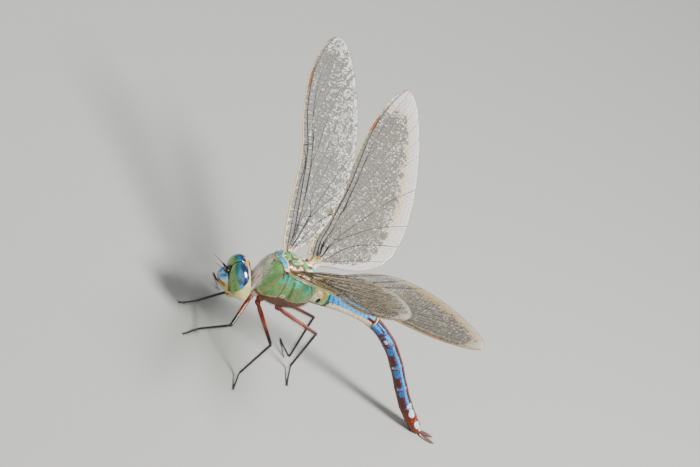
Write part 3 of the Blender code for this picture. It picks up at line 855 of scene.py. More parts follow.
# %% Thorax finish
# The darker green mark is a painted shadow line across the side.
thorax_finish = plate_finish(
    "thorax", tint(112, 150, 96),
    [("turquoise", tint(66, 184, 160), 0.9, 0.6), ("painted_shadow_line", tint(66, 88, 40), 0.3, 0.15),
     ("front", tint(250, 236, 218), 0.3, 0.2),
     ("wingzone", tint(218, 204, 186), 0.15, 0.35), ("notum", tint(84, 58, 44), 0.15, 0.2),
     ("venter", tint(88, 56, 40), 0.3, 0.25), ("pale", tint(222, 206, 170), 0.12, 0.1),
     ("palesea", tint(212, 196, 140), 0.06, 0.04), ("seam", tint(112, 62, 34), 0.05, 0.03),
     ("spot", tint(84, 186, 226), 0.06, 0.04), ("keel", tint(232, 214, 190), 0.06, 0.03),
     ("rear", tint(96, 54, 36), 0.05, 0.03), ("breath", tint(24, 14, 12), 0.06, 0.03)],
    blotch=1.3, variation=0.50, pits=7.0, smooth=(0.25, 0.5), bump=0.6,
    Coat_Weight=0.5, Coat_Roughness=0.16)

thorax = Shells()
thorax.add(from_body(thorax_points), thorax_faces, **thorax_marks)
print(thorax.count, "points in the thorax")

# %% [markdown]
# Between the wings the back carries pairs of raised plates in green, turquoise and cream. Each
# wing joins the body through a cluster of little hinge plates, red-brown and cream. They are
# oval lumps, pressed into the thorax so that only their tops show. Each is darker below its top,
# down to where it meets the thorax.

# %% Back plates and hinge plates
back_finish = plate_finish(
    "back_plate", tint(112, 168, 118), [("edge", tint(104, 66, 44), 0.08, 0.05)],
    blotch=1.5, variation=0.35, smooth=(0.25, 0.45), bump=0.5, Coat_Weight=0.3)
cream_finish = plate_finish("cream_plate", tint(222, 208, 188),
                            [("edge", tint(120, 84, 60), 0.25, 0.25)], blotch=2.0, variation=0.35,
                            smooth=(0.28, 0.45), bump=0.3, Coat_Weight=0.3)
rust_finish = plate_finish("rust_plate", tint(104, 60, 42), blotch=1.6, variation=0.3,
                           smooth=(0.22, 0.4), bump=0.3, Coat_Weight=0.4)
aqua_finish = plate_finish("aqua_plate", tint(90, 200, 190), blotch=1.6, variation=0.2,
                           smooth=(0.25, 0.45), bump=0.3, Coat_Weight=0.3)
GREEN, CREAM, RUST, AQUA, NECK_SKIN = 1, 2, 3, 4, 5  # their numbers in the thorax's list
BACK_PLATES = (  # forward, left, dorsal, three radii, finish
    (2.55, 0.0, 6.35, 0.85, 1.45, 0.58, GREEN), (1.15, 0.98, 6.2, 1.35, 0.62, 0.60, GREEN),
    (-0.35, 0.0, 6.0, 0.95, 0.60, 0.62, CREAM), (-0.55, 1.35, 5.65, 0.62, 0.52, 0.40, CREAM),
    (-1.75, 0.0, 5.65, 0.65, 1.45, 0.52, GREEN), (-2.95, 0.95, 5.45, 1.15, 0.50, 0.52, CREAM),
    (-4.25, 0.0, 5.05, 0.72, 0.85, 0.52, AQUA), (-5.2, 0.0, 4.45, 0.60, 1.30, 0.42, CREAM))
HINGE_PLATES = (
    (2.75, 2.75, 5.15, 0.62, 0.42, 0.42, CREAM), (2.05, 2.45, 5.55, 0.52, 0.52, 0.34, RUST),
    (1.25, 2.15, 5.75, 0.60, 0.50, 0.40, CREAM), (0.55, 2.65, 5.25, 0.45, 0.62, 0.32, RUST),
    (0.10, 2.05, 5.50, 0.42, 0.45, 0.34, CREAM), (2.35, 3.15, 4.85, 0.40, 0.34, 0.30, RUST),
    (-1.05, 2.75, 4.85, 0.55, 0.42, 0.30, RUST), (-2.35, 2.75, 4.95, 0.60, 0.45, 0.40, CREAM),
    (-3.15, 2.40, 5.15, 0.50, 0.50, 0.34, RUST), (-3.95, 2.20, 5.05, 0.60, 0.52, 0.40, CREAM),
    (-4.75, 2.55, 4.70, 0.45, 0.60, 0.32, RUST), (-5.25, 2.00, 4.45, 0.45, 0.50, 0.32, CREAM))
PLATE_SPREAD, PLATE_RISE = 1.06, 0.05  # outward and upward, by how far out a plate lies
PLATE_GROWTH, PLATE_HEIGHT, RIM_START = 1.12, 0.94, 0.36
for plates in (BACK_PLATES, HINGE_PLATES):
    for at_f, at_l, at_d, r_f, r_l, r_d, finish in plates:
        for side in ((1, -1) if at_l else (1,)):
            lump(thorax, (at_f, at_l * side * PLATE_SPREAD, at_d + PLATE_RISE * at_l),
                 (r_f * PLATE_GROWTH, r_l * PLATE_GROWTH, r_d * PLATE_HEIGHT), finish,
                 from_body, uneven=0.10, edge=lambda p: RIM_START - (p[:, 2] - at_d) / r_d)
print(len(BACK_PLATES), "kinds of back plate,", len(HINGE_PLATES), "pairs of hinge plates")

# %% [markdown]
# A pale ridge runs along each side under the wing bases, thicker and thinner like a string of
# beads. It is a tube along a gently bent path.

# %% Ridges under the wings
for side in (1, -1):
    ridge_share = np.linspace(0, 1, 30)
    ridge = np.stack([2.2 - 6.4 * ridge_share, side * (3.30 + 0.30 * np.sin(math.pi * ridge_share)),
                      4.95 - 1.05 * ridge_share + 0.25 * np.sin(math.pi * ridge_share)], 1)
    ridge_wide = 0.30 * np.sqrt(np.clip(np.sin(math.pi * ridge_share), 0.02, 1)) + (
        0.10 * np.cos(ridge_share * 6 * math.pi) * np.sin(math.pi * ridge_share))
    bar_points, bar_faces = tube(ridge, ridge_wide, 12)
    thorax.add(from_body(bar_points[:, :3]), bar_faces, CREAM)
print("ridges reach", round(float(ridge_wide.max()), 2), "mm")

# %% [markdown]
# The neck is a soft skin in folds between the head and the first small ring of the thorax, the
# prothorax. A loft through uneven ovals gives the folds, and brown lines follow them. Two pale
# lumps are the side plates of the prothorax.

# %% Neck and prothorax
neck_finish = plate_finish(
    "neck", (0.94, 0.80, 0.73, 1.0), [("dark", tint(150, 84, 58), 0.2, 0.2)],
    blotch=1.4, variation=0.3, smooth=(0.4, 0.6), bump=0.4)
# Each row is a place along the neck, the height of its middle, its half width and half height.
NECK = np.array(((5.0, 0.1, 1.7, 2.1), (5.5, -0.1, 1.75, 2.1), (5.75, -0.3, 1.5, 1.85),
                 (6.0, -0.45, 1.62, 1.9), (6.25, -0.65, 1.3, 1.5), (6.55, -0.9, 1.36, 1.5),
                 (6.8, -1.15, 1.05, 1.15), (7.3, -1.35, 1.0, 1.05)))
along = np.linspace(5.0, 7.3, 40)
neck_sizes = curve_through(NECK[:, 0], NECK[:, 1:], along)
turns = np.linspace(0, 2 * math.pi, 56, endpoint=False)
neck_rings = np.stack([
    along[:, None] + 0.25 * neck_sizes[:, 2][:, None] * np.cos(turns) * 0.8,
    neck_sizes[:, 1][:, None] * np.sin(turns),
    neck_sizes[:, 0][:, None] + neck_sizes[:, 2][:, None] * np.cos(turns)], 2)
neck_points, neck_faces = loft(neck_rings)
neck_folds = np.cos(neck_points[:, 0] * 15 + np.sin(neck_points[:, 2] * 1.3) * 1.4) * 0.5
thorax.add(from_body(neck_points), neck_faces, NECK_SKIN, dark=neck_folds - 0.32)
for side in (1, -1):
    lump(thorax, (6.05, 1.25 * side, -2.35), (0.72, 0.85, 1.55), NECK_SKIN, from_body,
         dark=lambda p: np.cos(p[:, 0] * 12 + p[:, 2]) * 0.5 - 0.34)
thorax.make("thorax", [thorax_finish, back_finish, cream_finish, rust_finish, aqua_finish,
                       neck_finish], "thorax", "thorax", "prothorax")

# %% [markdown]
# ## Abdomen
# The abdomen is ten rings that slide into each other, so it can bend. Here they are one skin.
# Its middle line is a smooth curve through the joints of the rings. A place on it is told by
# `along`, where 4.25 is a quarter of the way down the fifth ring, and by the angle from the
# top.

# %% Middle line of the abdomen
RINGS = 10
ABDOMEN_AT = np.array((-6.45, 0.0, 0.4))
LENGTHS = np.array((1.9, 4.7, 10.3, 8.2, 7.2, 6.8, 6.0, 4.3, 3.2, 1.8))
SLOPES = np.radians((2, 2, 11.5, 31, 44, 49, 47, 42, 38, 34))
# Half widths and half heights at the joints.
RADII = np.array(((2.30, 2.55), (2.25, 2.45), (2.00, 2.10), (1.40, 1.48), (1.38, 1.45),
                  (1.38, 1.45), (1.42, 1.45), (1.55, 1.48), (1.52, 1.40), (1.30, 1.15),
                  (0.85, 0.60)))
ways = np.stack([-np.cos(SLOPES), np.zeros(RINGS), -np.sin(SLOPES)], 1)
joints = np.concatenate([[ABDOMEN_AT], ABDOMEN_AT + np.cumsum(ways * LENGTHS[:, None], axis=0)])
to_joint = np.concatenate([[0], np.cumsum(LENGTHS)])

steps = np.linspace(0, 1, 27)[:-1]
in_ring = np.sort(np.concatenate([steps, (0.012, 0.024, 0.955, 0.975, 0.988)]))
along = np.concatenate([number + in_ring for number in range(RINGS)] + [[float(RINGS)]])
distance = np.interp(along, np.arange(RINGS + 1), to_joint)
middle_line = curve_through(to_joint, joints, distance)
tangents = unit(np.gradient(middle_line, distance, axis=0))
over = np.cross(tangents, (0, 1, 0))
over *= np.sign(over[:, 2:3])
sizes = curve_through(to_joint, RADII, distance)
print("abdomen", round(to_joint[-1], 1), "mm long")

# %% [markdown]
# Every joint is a narrow fold behind a slightly flared rim, the rings have a slight waist, and
# the second ring carries a sharp keel all the way round. Low ridges run along the back and the
# sides. All of these are small changes to one loft.

# %% Abdomen shape
ABDOMEN_SQUARE = 2 / 2.2
KEEL_AT = 1.37  # the sharp keel of the second ring
nearest = np.round(along).astype(int)
ahead = distance - to_joint[nearest]
at_joint = (nearest > 0) & (nearest < RINGS)
fold = np.where(at_joint, -0.13 * np.exp(-((ahead - 0.06) / 0.07) ** 2), 0)
fold += np.where(at_joint, 0.055 * np.exp(-((ahead + 0.16) / 0.14) ** 2), 0)
waist = np.where(along > 3, -0.05 * np.sin(math.pi * (along % 1)), 0)
band = 0.06 * np.exp(-(((along - KEEL_AT) * LENGTHS[1]) / 0.10) ** 2)
sizes = sizes + (fold + waist + band)[:, None]
sizes[-1] *= 0.8

turns = np.linspace(0, 2 * math.pi, 96, endpoint=False)
side_way = signed_power(np.sin(turns), ABDOMEN_SQUARE)
top_way = signed_power(np.cos(turns), ABDOMEN_SQUARE)
rings = (middle_line[:, None] + sizes[:, 0][:, None, None] * side_way[:, None] * np.array((0, 1, 0))
         + sizes[:, 1][:, None, None] * top_way[:, None] * over[:, None])
side_keel = np.exp(-((np.degrees(turns) % 180 - 90) / 5) ** 2)
crest_keel = np.exp(-((np.degrees(turns + math.pi) % 360 - 180) / 6) ** 2)
reach = np.interp(along, (2.3, 3.0, 9, 9.8), (0, 1, 1, 0))
lift = (0.05 * side_keel + 0.05 * crest_keel)[None] * reach[:, None]
rings += lift[..., None] * (rings - middle_line[:, None])
extra = np.stack(np.broadcast_arrays(along[:, None], distance[:, None],
                                     np.degrees(turns)[None]), 2)
skin, skin_faces = loft(np.concatenate([rings, extra], 2))
skin[-2:, 3:] = (0, 0, 0), (RINGS, to_joint[-1], 0)  # the middles of the two ends
print("abdomen", len(skin_faces), "faces")

# %% [markdown]
# Markings are rounded patches in the unrolled skin: a stretch along it, between two angles, or
# an oval. Both helpers tell how far inside its edge each point lies.

# %% Patches on the unrolled skin
SKIN_RADIUS = 1.45  # turns an angle into millimetres of girth
ring_at, mm_at = skin[:, 3], skin[:, 4]
angle = np.abs((skin[:, 5] + 180) % 360 - 180)
girth = np.radians(angle) * SKIN_RADIUS


def patch(start, end, top, low, corner=0.25):
    """How far each point lies inside a patch of the unrolled skin, in millimetres."""
    a, b = np.interp((start, end), np.arange(RINGS + 1), to_joint)
    middle, half = np.radians((top + low, low - top)) / 2 * SKIN_RADIUS
    x = np.abs(mm_at - (a + b) / 2) - (b - a) / 2 + corner
    y = np.abs(girth - middle) - half + corner
    outside = np.hypot(np.maximum(x, 0), np.maximum(y, 0))
    return corner - outside - np.minimum(np.maximum(x, y), 0)


def oval_patch(at, turn, long, tall):
    """How far each point lies inside an oval."""
    x = (mm_at - np.interp(at, np.arange(RINGS + 1), to_joint)) / long
    y = (girth - math.radians(turn) * SKIN_RADIUS) / tall
    return (1 - np.hypot(x, y)) * min(long, tall)


print("the skin is", round(float(girth.max()), 2), "mm from back to belly")

# %% [markdown]
# Rings four to seven wear the same pattern, a long sky-blue stripe beside the dark back, a
# short patch low on the side, and blue bands at the joint, on red-brown. The rings before them
# are nearly all blue, and the last ones carry pale ovals. The first two are cream and green
# with an ochre bow round a black spot.

# %% Abdomen markings
blue = [patch(1.42, 2.78, -60, 84, 0.5), patch(2.70, 2.95, 24, 60),
        patch(3.04, 3.32, 66, 104, 0.3), patch(3.10, 3.56, 42, 54, 0.1),
        patch(3.58, 3.95, 42, 80, 0.1), patch(3.28, 3.44, 72, 98)]
for number in (4, 5, 6):
    shrink = 0.10 * (number == 6)  # the seventh ring's bands stop short
    blue += [patch(number + 0.045, number + 0.72, 53, 74, 0.3),
             patch(number + 0.50, number + 0.86, 48, 69, 0.3),
             patch(number + 0.06, number + 0.38 - shrink, 90, 122 - 60 * shrink, 0.3),
             patch(number + 0.86, number + 0.965, 42, 116 - 300 * shrink, 0.15),
             patch(number - 0.03, number + 0.05, 46, 78, 0.1)]
pale = [oval_patch(7.45, 58, 1.25, 0.75), patch(6.80, 6.96, 30, 80, 0.15),
        patch(7.04, 7.12, 34, 74, 0.1), oval_patch(8.55, 54, 1.25, 0.78),
        oval_patch(9.2, 46, 0.75, 0.5)]
cream = [patch(0.0, 1.28, -10, 118, 0.3), patch(1.5, 2.98, 84, 132, 0.5),
         patch(3.0, 3.05, 0, 150, 0.02), patch(3.72, 3.86, 84, 108, 0.1),
         patch(4.88, 4.96, 112, 134, 0.1), patch(5.88, 5.95, 104, 126, 0.1)]
bow = np.hypot((mm_at - 1.15) / 1.35, (girth - 1.85) / 0.95) - 1
green = np.minimum(patch(0.30, 1.40, -10, 112, 0.4), bow)
ochre = [patch(0.12, 0.30, 0, 60, 0.1),
         np.minimum(0.24 - np.abs(bow - 0.1), np.minimum(mm_at - 1.0, 2.5 - girth))]
to_ring = np.min([np.abs(mm_at - spot) for spot in to_joint[3:10]], axis=0)
ringed = 0.13 - np.abs(to_ring - 0.02)
keel_line = 0.13 - np.abs(mm_at - np.interp(KEEL_AT, np.arange(RINGS + 1), to_joint))
black = np.maximum(keel_line - 0.3 * (angle > 145), oval_patch(0.93, 96, 0.42, 0.42))
dark_back = np.maximum(patch(2.5, 3.0, -30, 16, 0.3), patch(0.7, 2.0, -20, 2.5, 0.05))
reddish = np.interp(ring_at, (6.6, 7.6, 10), (-1.5, 0.2, 1.0))
# Dark streaks across the blue, a darker shade on the low patches, and blots on the fourth ring.
dark_streaks = np.minimum(blue[0], np.cos(mm_at * 5.2 + np.sin(girth * 2.1) * 1.7) * 0.5 - 0.26)
low_patches = np.minimum(np.max(blue[2:], axis=0) + 0.1, girth - 1.72 - 0.3 * (ring_at < 4))
blots = np.minimum(np.minimum(ring_at - 3.02, 4.0 - ring_at) * 4,
                   np.cos(mm_at * 3.1 + girth * 2.3) * np.cos(girth * 5.1 - mm_at) - 0.55)
blots = np.minimum(blots, girth - 1.0)
to_rim = np.min([np.abs(mm_at - spot + 0.16) for spot in to_joint[3:10]], axis=0)
abdomen_marks = dict(
    reddish=reddish, cream=np.max(cream, axis=0), green=green, blue=np.max(blue, axis=0),
    streak=np.maximum.reduce([dark_streaks, low_patches, blots]), pale=np.max(pale, axis=0),
    ochre=np.max(ochre, axis=0), darkback=dark_back, ringed=ringed, rim=0.07 - to_rim,
    black=black)
print("abdomen marks:", *abdomen_marks)

# %% [markdown]
# The ten solid rings are replaced by this one skin, because no seam is seen between them.

# %% Abdomen
abdomen_finish = plate_finish(
    "abdomen", tint(72, 30, 14),
    [("reddish", tint(112, 46, 10), 0.9, 0.3), ("cream", tint(234, 220, 194), 0.14, 0.10),
     ("green", tint(140, 194, 150), 0.4, 0.25), ("blue", tint(36, 164, 224), 0.06, 0.07),
     ("streak", tint(20, 104, 168), 0.3, 0.35), ("pale", tint(196, 226, 238), 0.06, 0.05),
     ("ochre", tint(186, 158, 96), 0.12, 0.12), ("darkback", tint(92, 40, 26), 0.1, 0.12),
     ("ringed", tint(64, 26, 16), 0.05, 0.02), ("rim", tint(150, 88, 44), 0.04, 0.02),
     ("black", tint(20, 14, 12), 0.05, 0.02)],
    blotch=1.6, variation=0.42, pits=6.0, smooth=(0.34, 0.52), bump=0.5,
    Coat_Weight=0.25, Coat_Roughness=0.10, Specular_IOR_Level=0.15)
abdomen = Shells()
abdomen.add(from_body(skin[:, :3]), skin_faces, **abdomen_marks)
abdomen.make("abdomen", [abdomen_finish], "abdomen",
             *[f"abdomen_s{number:02d}" for number in range(1, RINGS + 1)])

# %% [markdown]
# At the very end are two flat blades, the cerci, which lie on the surface. Each has a raised
# middle rib.

# %% Cerci
CERCUS_LONG, CERCUS_HALF_WIDE, CERCUS_HALF_DEEP = 4.6, 0.60, 0.26
cercus_finish = plate_finish("cercus", tint(70, 34, 22), variation=0.3, smooth=(0.3, 0.45),
                             bump=0.4, Coat_Weight=0.3)
tail = from_body(joints[-1])[0] / MM
for side, label in ((-1, "left"), (1, "right")):
    share = np.linspace(0, 1, 36)
    half_wide = CERCUS_HALF_WIDE * curve_through(
        (0, 0.12, 0.45, 0.75, 0.93, 1), (0.42, 0.68, 1.0, 0.85, 0.40, 0.06), share)
    half_deep = CERCUS_HALF_DEEP * np.interp(share, (0, 0.1, 0.6, 1), (0.8, 1, 0.8, 0.12))
    turns = np.linspace(0, 2 * math.pi, 28, endpoint=False)
    across, above = np.cos(turns), np.sin(turns)
    x = tail[0] + 0.19 + CERCUS_LONG * share
    y = tail[1] + side * (0.62 + 0.35 * share)
    ribbed = above * (1 + 0.35 * np.exp(-(across / 0.22) ** 2) * (above > 0))
    cercus_rings = np.stack([
        np.repeat(x[:, None], len(turns), axis=1), y[:, None] + half_wide[:, None] * across,
        np.maximum(0.27 + half_deep[:, None] * ribbed, 0.0)], 2)
    cercus = Shells()
    blade, blade_faces = loft(cercus_rings)
    cercus.add(from_floor(blade), blade_faces)
    cercus.make(f"cercus_{label}", [cercus_finish], "abdomen", f"cercus_{label}")

# %% [markdown]
# ## Legs
# A leg is a string of hard tubes: a short coxa on the body, the femur, the thin tibia, and a
# foot of three small joints with two hooked claws. The knee and ankle places follow from the
# same lengths and headings as the solid model.

# %% Where the joints of the legs are
# Lengths of femur, tibia and foot.
LEG_LENGTHS = {"fore": (8.3, 7.4, 4.7), "mid": (10.2, 8.9, 5.2), "hind": (12.0, 10.5, 6.0)}
ANKLE_HEIGHT, FOOT_HEIGHT, FLAT_FOOT = 1.15, 0.26, 1.3
LEGS = {  # hip in body directions, femur (heading, slope), tibia heading, foot heading
    "fore_left": ((4.8, 1.3, -4.9), (68, -35), -38, 38),
    "mid_left": ((3.1, 1.5, -5.6), (113, -11), 50, 72),
    "hind_left": ((-1.7, 1.3, -5.7), (178, -4.6), -171, 78),
    "fore_right": ((4.9, -1.3, -4.9), (-97, -55), 24, 26),
    "mid_right": ((3.1, -1.5, -5.6), (-113, -11), -50, -72),
    "hind_right": ((-2.6, -1.4, -5.6), (-168, -7), 120, -84)}


def heading(turn, slope):
    """A direction over the floor, from degrees of turn and of slope."""
    a, e = math.radians(turn), math.radians(slope)
    return np.array((-math.cos(a) * math.cos(e), -math.sin(a) * math.cos(e), math.sin(e)))


def leg_joints(label):
    """Hip, knee, ankle, heel and toe over the floor, in millimetres."""
    hip_at, femur, tibia_turn, foot_turn = LEGS[label]
    long_femur, long_tibia, long_foot = LEG_LENGTHS[label.split("_")[0]]
    hip = from_body(hip_at)[0] / MM
    knee = hip + heading(*femur) * long_femur
    drop = math.degrees(math.asin((ANKLE_HEIGHT - knee[2]) / long_tibia))
    ankle = knee + heading(tibia_turn, drop) * long_tibia
    drop = math.degrees(math.asin((FOOT_HEIGHT - ankle[2]) / long_foot))
    toe = ankle + heading(foot_turn, drop) * long_foot
    heel = toe - heading(foot_turn, 0) * FLAT_FOOT
    return hip, knee, ankle, heel, toe


for label in LEGS:
    print(label, "knee at", leg_joints(label)[1].round(1).tolist(), "mm")

# %% [markdown]
# ### Growing things with Geometry Nodes
# Bristles, veins and hair are all grown the same way. A tree of Geometry Nodes has named
# inputs for its sizes. It is hung on a bare mesh as a modifier, its inputs are set, and the
# result is taken off as a plain mesh. `drawn` is the node for a random number in a range.

# %% Growing helpers
def geometry_group(name, inputs):
    """A Geometry Nodes tree with named inputs, and its two end nodes."""
    tree = bpy.data.node_groups.new(name, "GeometryNodeTree")
    tree.interface.new_socket("Geometry", in_out="INPUT", socket_type="NodeSocketGeometry")
    for label, kind, value in inputs:
        socket = tree.interface.new_socket(label, in_out="INPUT", socket_type="NodeSocket" + kind)
        if value is not None:
            socket.default_value = value
    tree.interface.new_socket("Geometry", in_out="OUTPUT", socket_type="NodeSocketGeometry")
    return tree, tree.nodes.new("NodeGroupInput").outputs, tree.nodes.new("NodeGroupOutput").inputs


def grown(name, mesh, tree, inputs):
    """The plain mesh that a Geometry Nodes tree makes from a mesh."""
    holder = bpy.data.objects.new(name + "_base", mesh)
    bpy.context.scene.collection.objects.link(holder)
    step = holder.modifiers.new("grow", "NODES")
    step.node_group = tree
    sockets = {item.name: item.identifier for item in tree.interface.items_tree
               if item.in_out == "INPUT"}
    for key, value in inputs.items():
        step[sockets[key]] = value
    ready = holder.evaluated_get(bpy.context.evaluated_depsgraph_get())
    made = bpy.data.meshes.new_from_object(ready)
    made.name = name
    holder.modifiers.remove(step)
    bpy.data.objects.remove(holder)
    return made


def usable(sockets, *names):
    """The sockets with these names that a node uses in its present setting."""
    return [s for s in sockets if s.enabled and (s.name in names or not names)]


def drawn(tree, seed, lowest, highest, kind="FLOAT"):
    """A random value for each point, between two limits."""
    chance = put(tree, "FunctionNodeRandomValue", {"Seed": seed}, data_type=kind)
    for socket, limit in zip(usable(chance.inputs, "Min", "Max"), (lowest, highest)):
        socket.default_value = limit
    return usable(chance.outputs)[0]


def finish_tree(tree, grown_shape, finish, end):
    """Ends a tree: real meshes in place of instances, with their material."""
    plain = put(tree, "GeometryNodeRealizeInstances", {"Geometry": grown_shape})
    dressed = put(tree, "GeometryNodeSetMaterial", {"Geometry": plain.outputs[0],
                                                    "Material": finish})
    tree.links.new(dressed.outputs[0], end["Geometry"])


def upright_scale(tree, stretch):
    """A scale that changes only the length of a cone."""
    return put(tree, "ShaderNodeCombineXYZ", {"X": 1.0, "Y": 1.0, "Z": stretch}).outputs[0]


print("growing helpers are ready in Blender", bpy.app.version_string)

# %% [markdown]
# The input of the bristle tree is a few lines along each leg, whose points know which way is
# outward. The tree spaces points along the lines, turns a thin cone outward and towards the
# foot at each, varies its length, and joins them all into one mesh.

# %% The bristle tree
bristle_tree, i, o = geometry_group("bristle rows", [
    ("Spacing", "Float", 0.5 * MM), ("Length", "Float", 0.8 * MM), ("Width", "Float", 0.05 * MM),
    ("Lean", "Float", 0.6), ("Seed", "Int", 1), ("Finish", "Material", None)])
t = bristle_tree
rows = put(t, "GeometryNodeMeshToCurve", {"Mesh": i["Geometry"]})
spaced = put(t, "GeometryNodeCurveToPoints", {"Curve": rows.outputs[0], "Length": i["Spacing"]},
             mode="LENGTH")
out_way = put(t, "GeometryNodeInputNamedAttribute", {"Name": "outward"},
              data_type="FLOAT_VECTOR").outputs[0]
leaning = put(t, "ShaderNodeVectorMath", {0: spaced.outputs["Tangent"], "Scale": i["Lean"]},
              operation="SCALE").outputs[0]
aim = put(t, "ShaderNodeVectorMath", {0: out_way, 1: leaning}, operation="ADD").outputs[0]
turned_to = put(t, "FunctionNodeAlignRotationToVector", {"Vector": aim}, axis="Z").outputs[0]
picked = drawn(t, i["Seed"], 0.6, 1.15)
cone = put(t, "GeometryNodeMeshCone", {"Vertices": 4, "Radius Top": 0.0,
                                       "Radius Bottom": i["Width"], "Depth": i["Length"]})
placed = put(t, "GeometryNodeInstanceOnPoints", {
    "Points": spaced.outputs["Points"], "Instance": cone.outputs["Mesh"], "Rotation": turned_to,
    "Scale": upright_scale(t, picked)})
finish_tree(t, placed.outputs[0], i["Finish"], o)
print(bristle_tree.name, len(t.nodes), "nodes")

# %% [markdown]
# Colour runs along a leg from red-brown at the hip to black, and the hips of the fore legs are
# pale. A paler band round the middle of the coxa and the femur is a painted highlight. So a
# limb's marks are numbers that fall evenly from its start to its end, or from its middle.

# %% Limbs
# The paler red-brown mark round the middle of a coxa or femur is a painted highlight.
leg_finish = plate_finish(
    "leg", tint(22, 18, 20),
    [("red", tint(116, 50, 32), 0.35, 0.15), ("pale", tint(232, 206, 190), 0.25, 0.15),
     ("glint", tint(158, 92, 74), 0.12, 0.10)],
    blotch=1.6, variation=0.35, pits=8.0, smooth=(0.2, 0.4), bump=0.35,
    Coat_Weight=0.5, Coat_Roughness=0.15)
spine_finish = plate_finish("spine", tint(16, 14, 16), variation=0.2, smooth=(0.3, 0.45),
                            Coat_Weight=0.3)


def above_floor(points):
    """Places with nothing under the floor, from points that may carry more columns."""
    places = points[:, :3].copy()
    places[:, 2] = np.maximum(places[:, 2], 0.0)
    return places


def limb(shells, start, end, radii, count=16, red=None, glint=None, pale=None):
    """One hard tube of a leg. The last three say how far in red, painted highlight and pale."""
    path, wide = tapered(start, end, radii, count)
    points, faces = tube(path, wide, 14)
    share = np.linalg.norm(points[:, :3] - np.asarray(start), axis=1) / np.linalg.norm(
        np.subtract(end, start))
    marks = {}
    for label, ends in (("red", red), ("pale", pale)):
        if ends is not None:
            marks[label] = ends[0] + (ends[1] - ends[0]) * share
    # A painted highlight: a paler band round the middle of the tube.
    if glint is not None:
        marks["glint"] = glint - np.abs(share - 0.5)
    shells.add(from_floor(above_floor(points)), faces, **marks)


print("leg colours:", leg_finish.name, spine_finish.name)

# %% [markdown]
# Hip, thigh, knee, shin and the joints of the foot overlap a little, as the real ones do. The
# pads of the foot stay flat on the floor. Two claws end it, each a thin tube bent down at its
# tip.

# %% Hard parts of the legs
COXA_TOP = -3.6  # no coxa starts higher up in the body than this
KNEE_RED = {"fore": -0.65, "mid": -0.42, "hind": -0.15}  # how dark the knee is: less is darker
PALE_HIP, NOT_PALE = 0.3, -1.0
FOOT_JOINTS = (0.0, 0.22, 0.56, 1.0)


def add_leg_bones(leg, label):
    """The coxa, trochanter, femur and tibia of one leg."""
    hip, knee, ankle, *_ = leg_joints(label)
    pair = label.split("_")[0]
    hip_f, hip_l, hip_d = LEGS[label][0]
    top = from_body((hip_f - 0.5, hip_l * 0.95, max(hip_d + 1.9, COXA_TOP)))[0] / MM
    pale = PALE_HIP if pair == "fore" else NOT_PALE
    thigh, shin = unit(knee - hip), unit(ankle - knee)
    limb(leg, top, hip, (0.98, 0.92, 0.66), 14, (0.6, 0.3), 0.0, (pale, pale))
    limb(leg, hip - thigh * 0.35, hip + thigh * 1.35, (0.50, 0.58, 0.46), 12, (0.5, 0.5),
         None, (pale, min(pale, -0.3)))
    limb(leg, hip + thigh * 1.0, knee + thigh * 0.12,
         (0.40, 0.50, 0.48, 0.44, 0.40, 0.38, 0.36), 22, (0.75, KNEE_RED[pair]), 0.05)
    limb(leg, knee - shin * 0.28, knee + shin * 0.75, (0.34, 0.31, 0.26), 10, (-0.2, -0.4))
    limb(leg, knee + shin * 0.5, ankle + shin * 0.05, (0.27, 0.26, 0.24, 0.24, 0.22, 0.24), 18,
         (-0.35, -0.8))


def add_foot(leg, label):
    """The three joints of one foot, its flat sole and its two claws."""
    *_, ankle, heel, toe = leg_joints(label)
    foot_way = unit(heel - ankle)
    foot_long = np.linalg.norm(heel - ankle)
    for a, b in zip(FOOT_JOINTS, FOOT_JOINTS[1:]):
        limb(leg, ankle + foot_way * (foot_long * a - 0.02),
             ankle + foot_way * (foot_long * b + 0.10), (0.15, 0.18, 0.20), 10)
    limb(leg, heel - foot_way * 0.1, toe + (toe - heel) * 0.02, (0.19, 0.18, 0.16), 10)
    flat = unit((toe - heel) * (1, 1, 0))
    beside = np.array((-flat[1], flat[0], 0))
    share = np.linspace(0, 1, 12)[:, None]
    hooked = (np.sin(share * math.pi) - share**2) * np.array((0, 0, 0.16))
    for side in (1, -1):
        claw = toe - flat * 0.25 + share * (flat * 0.52 + beside * side * 0.34) + hooked
        hook, hook_faces = tube(claw, 0.085 * (1 - share[:, 0]) + 0.012, 8)
        leg.add(from_floor(above_floor(hook)), hook_faces)


print("the joints of a foot end at", FOOT_JOINTS[1:])

# %% [markdown]
# The legs form a basket for catching flies, so they carry rows of stiff bristles: two under the
# femur, four round the tibia and two under the foot. A row is a straight line on the limb's
# skin, told by an angle round it, and knows its own outward direction.

# %% Bristles
ROWS = {"femur": (215, 325), "tibia": (200, 245, 295, 340), "foot": (225, 315)}


def bristle_lines(start, end, radius, angles):
    """Start, end and outward direction of lines along a tube."""
    way = unit(end - start)
    side = unit(np.cross(way, (0, 0, 1)))
    over = np.cross(side, way)
    lines = []
    for turn in np.radians(angles):
        out = side * math.cos(turn) + over * math.sin(turn)
        lines.append((start + out * radius * 0.85, end + out * radius * 0.85, out))
    return lines


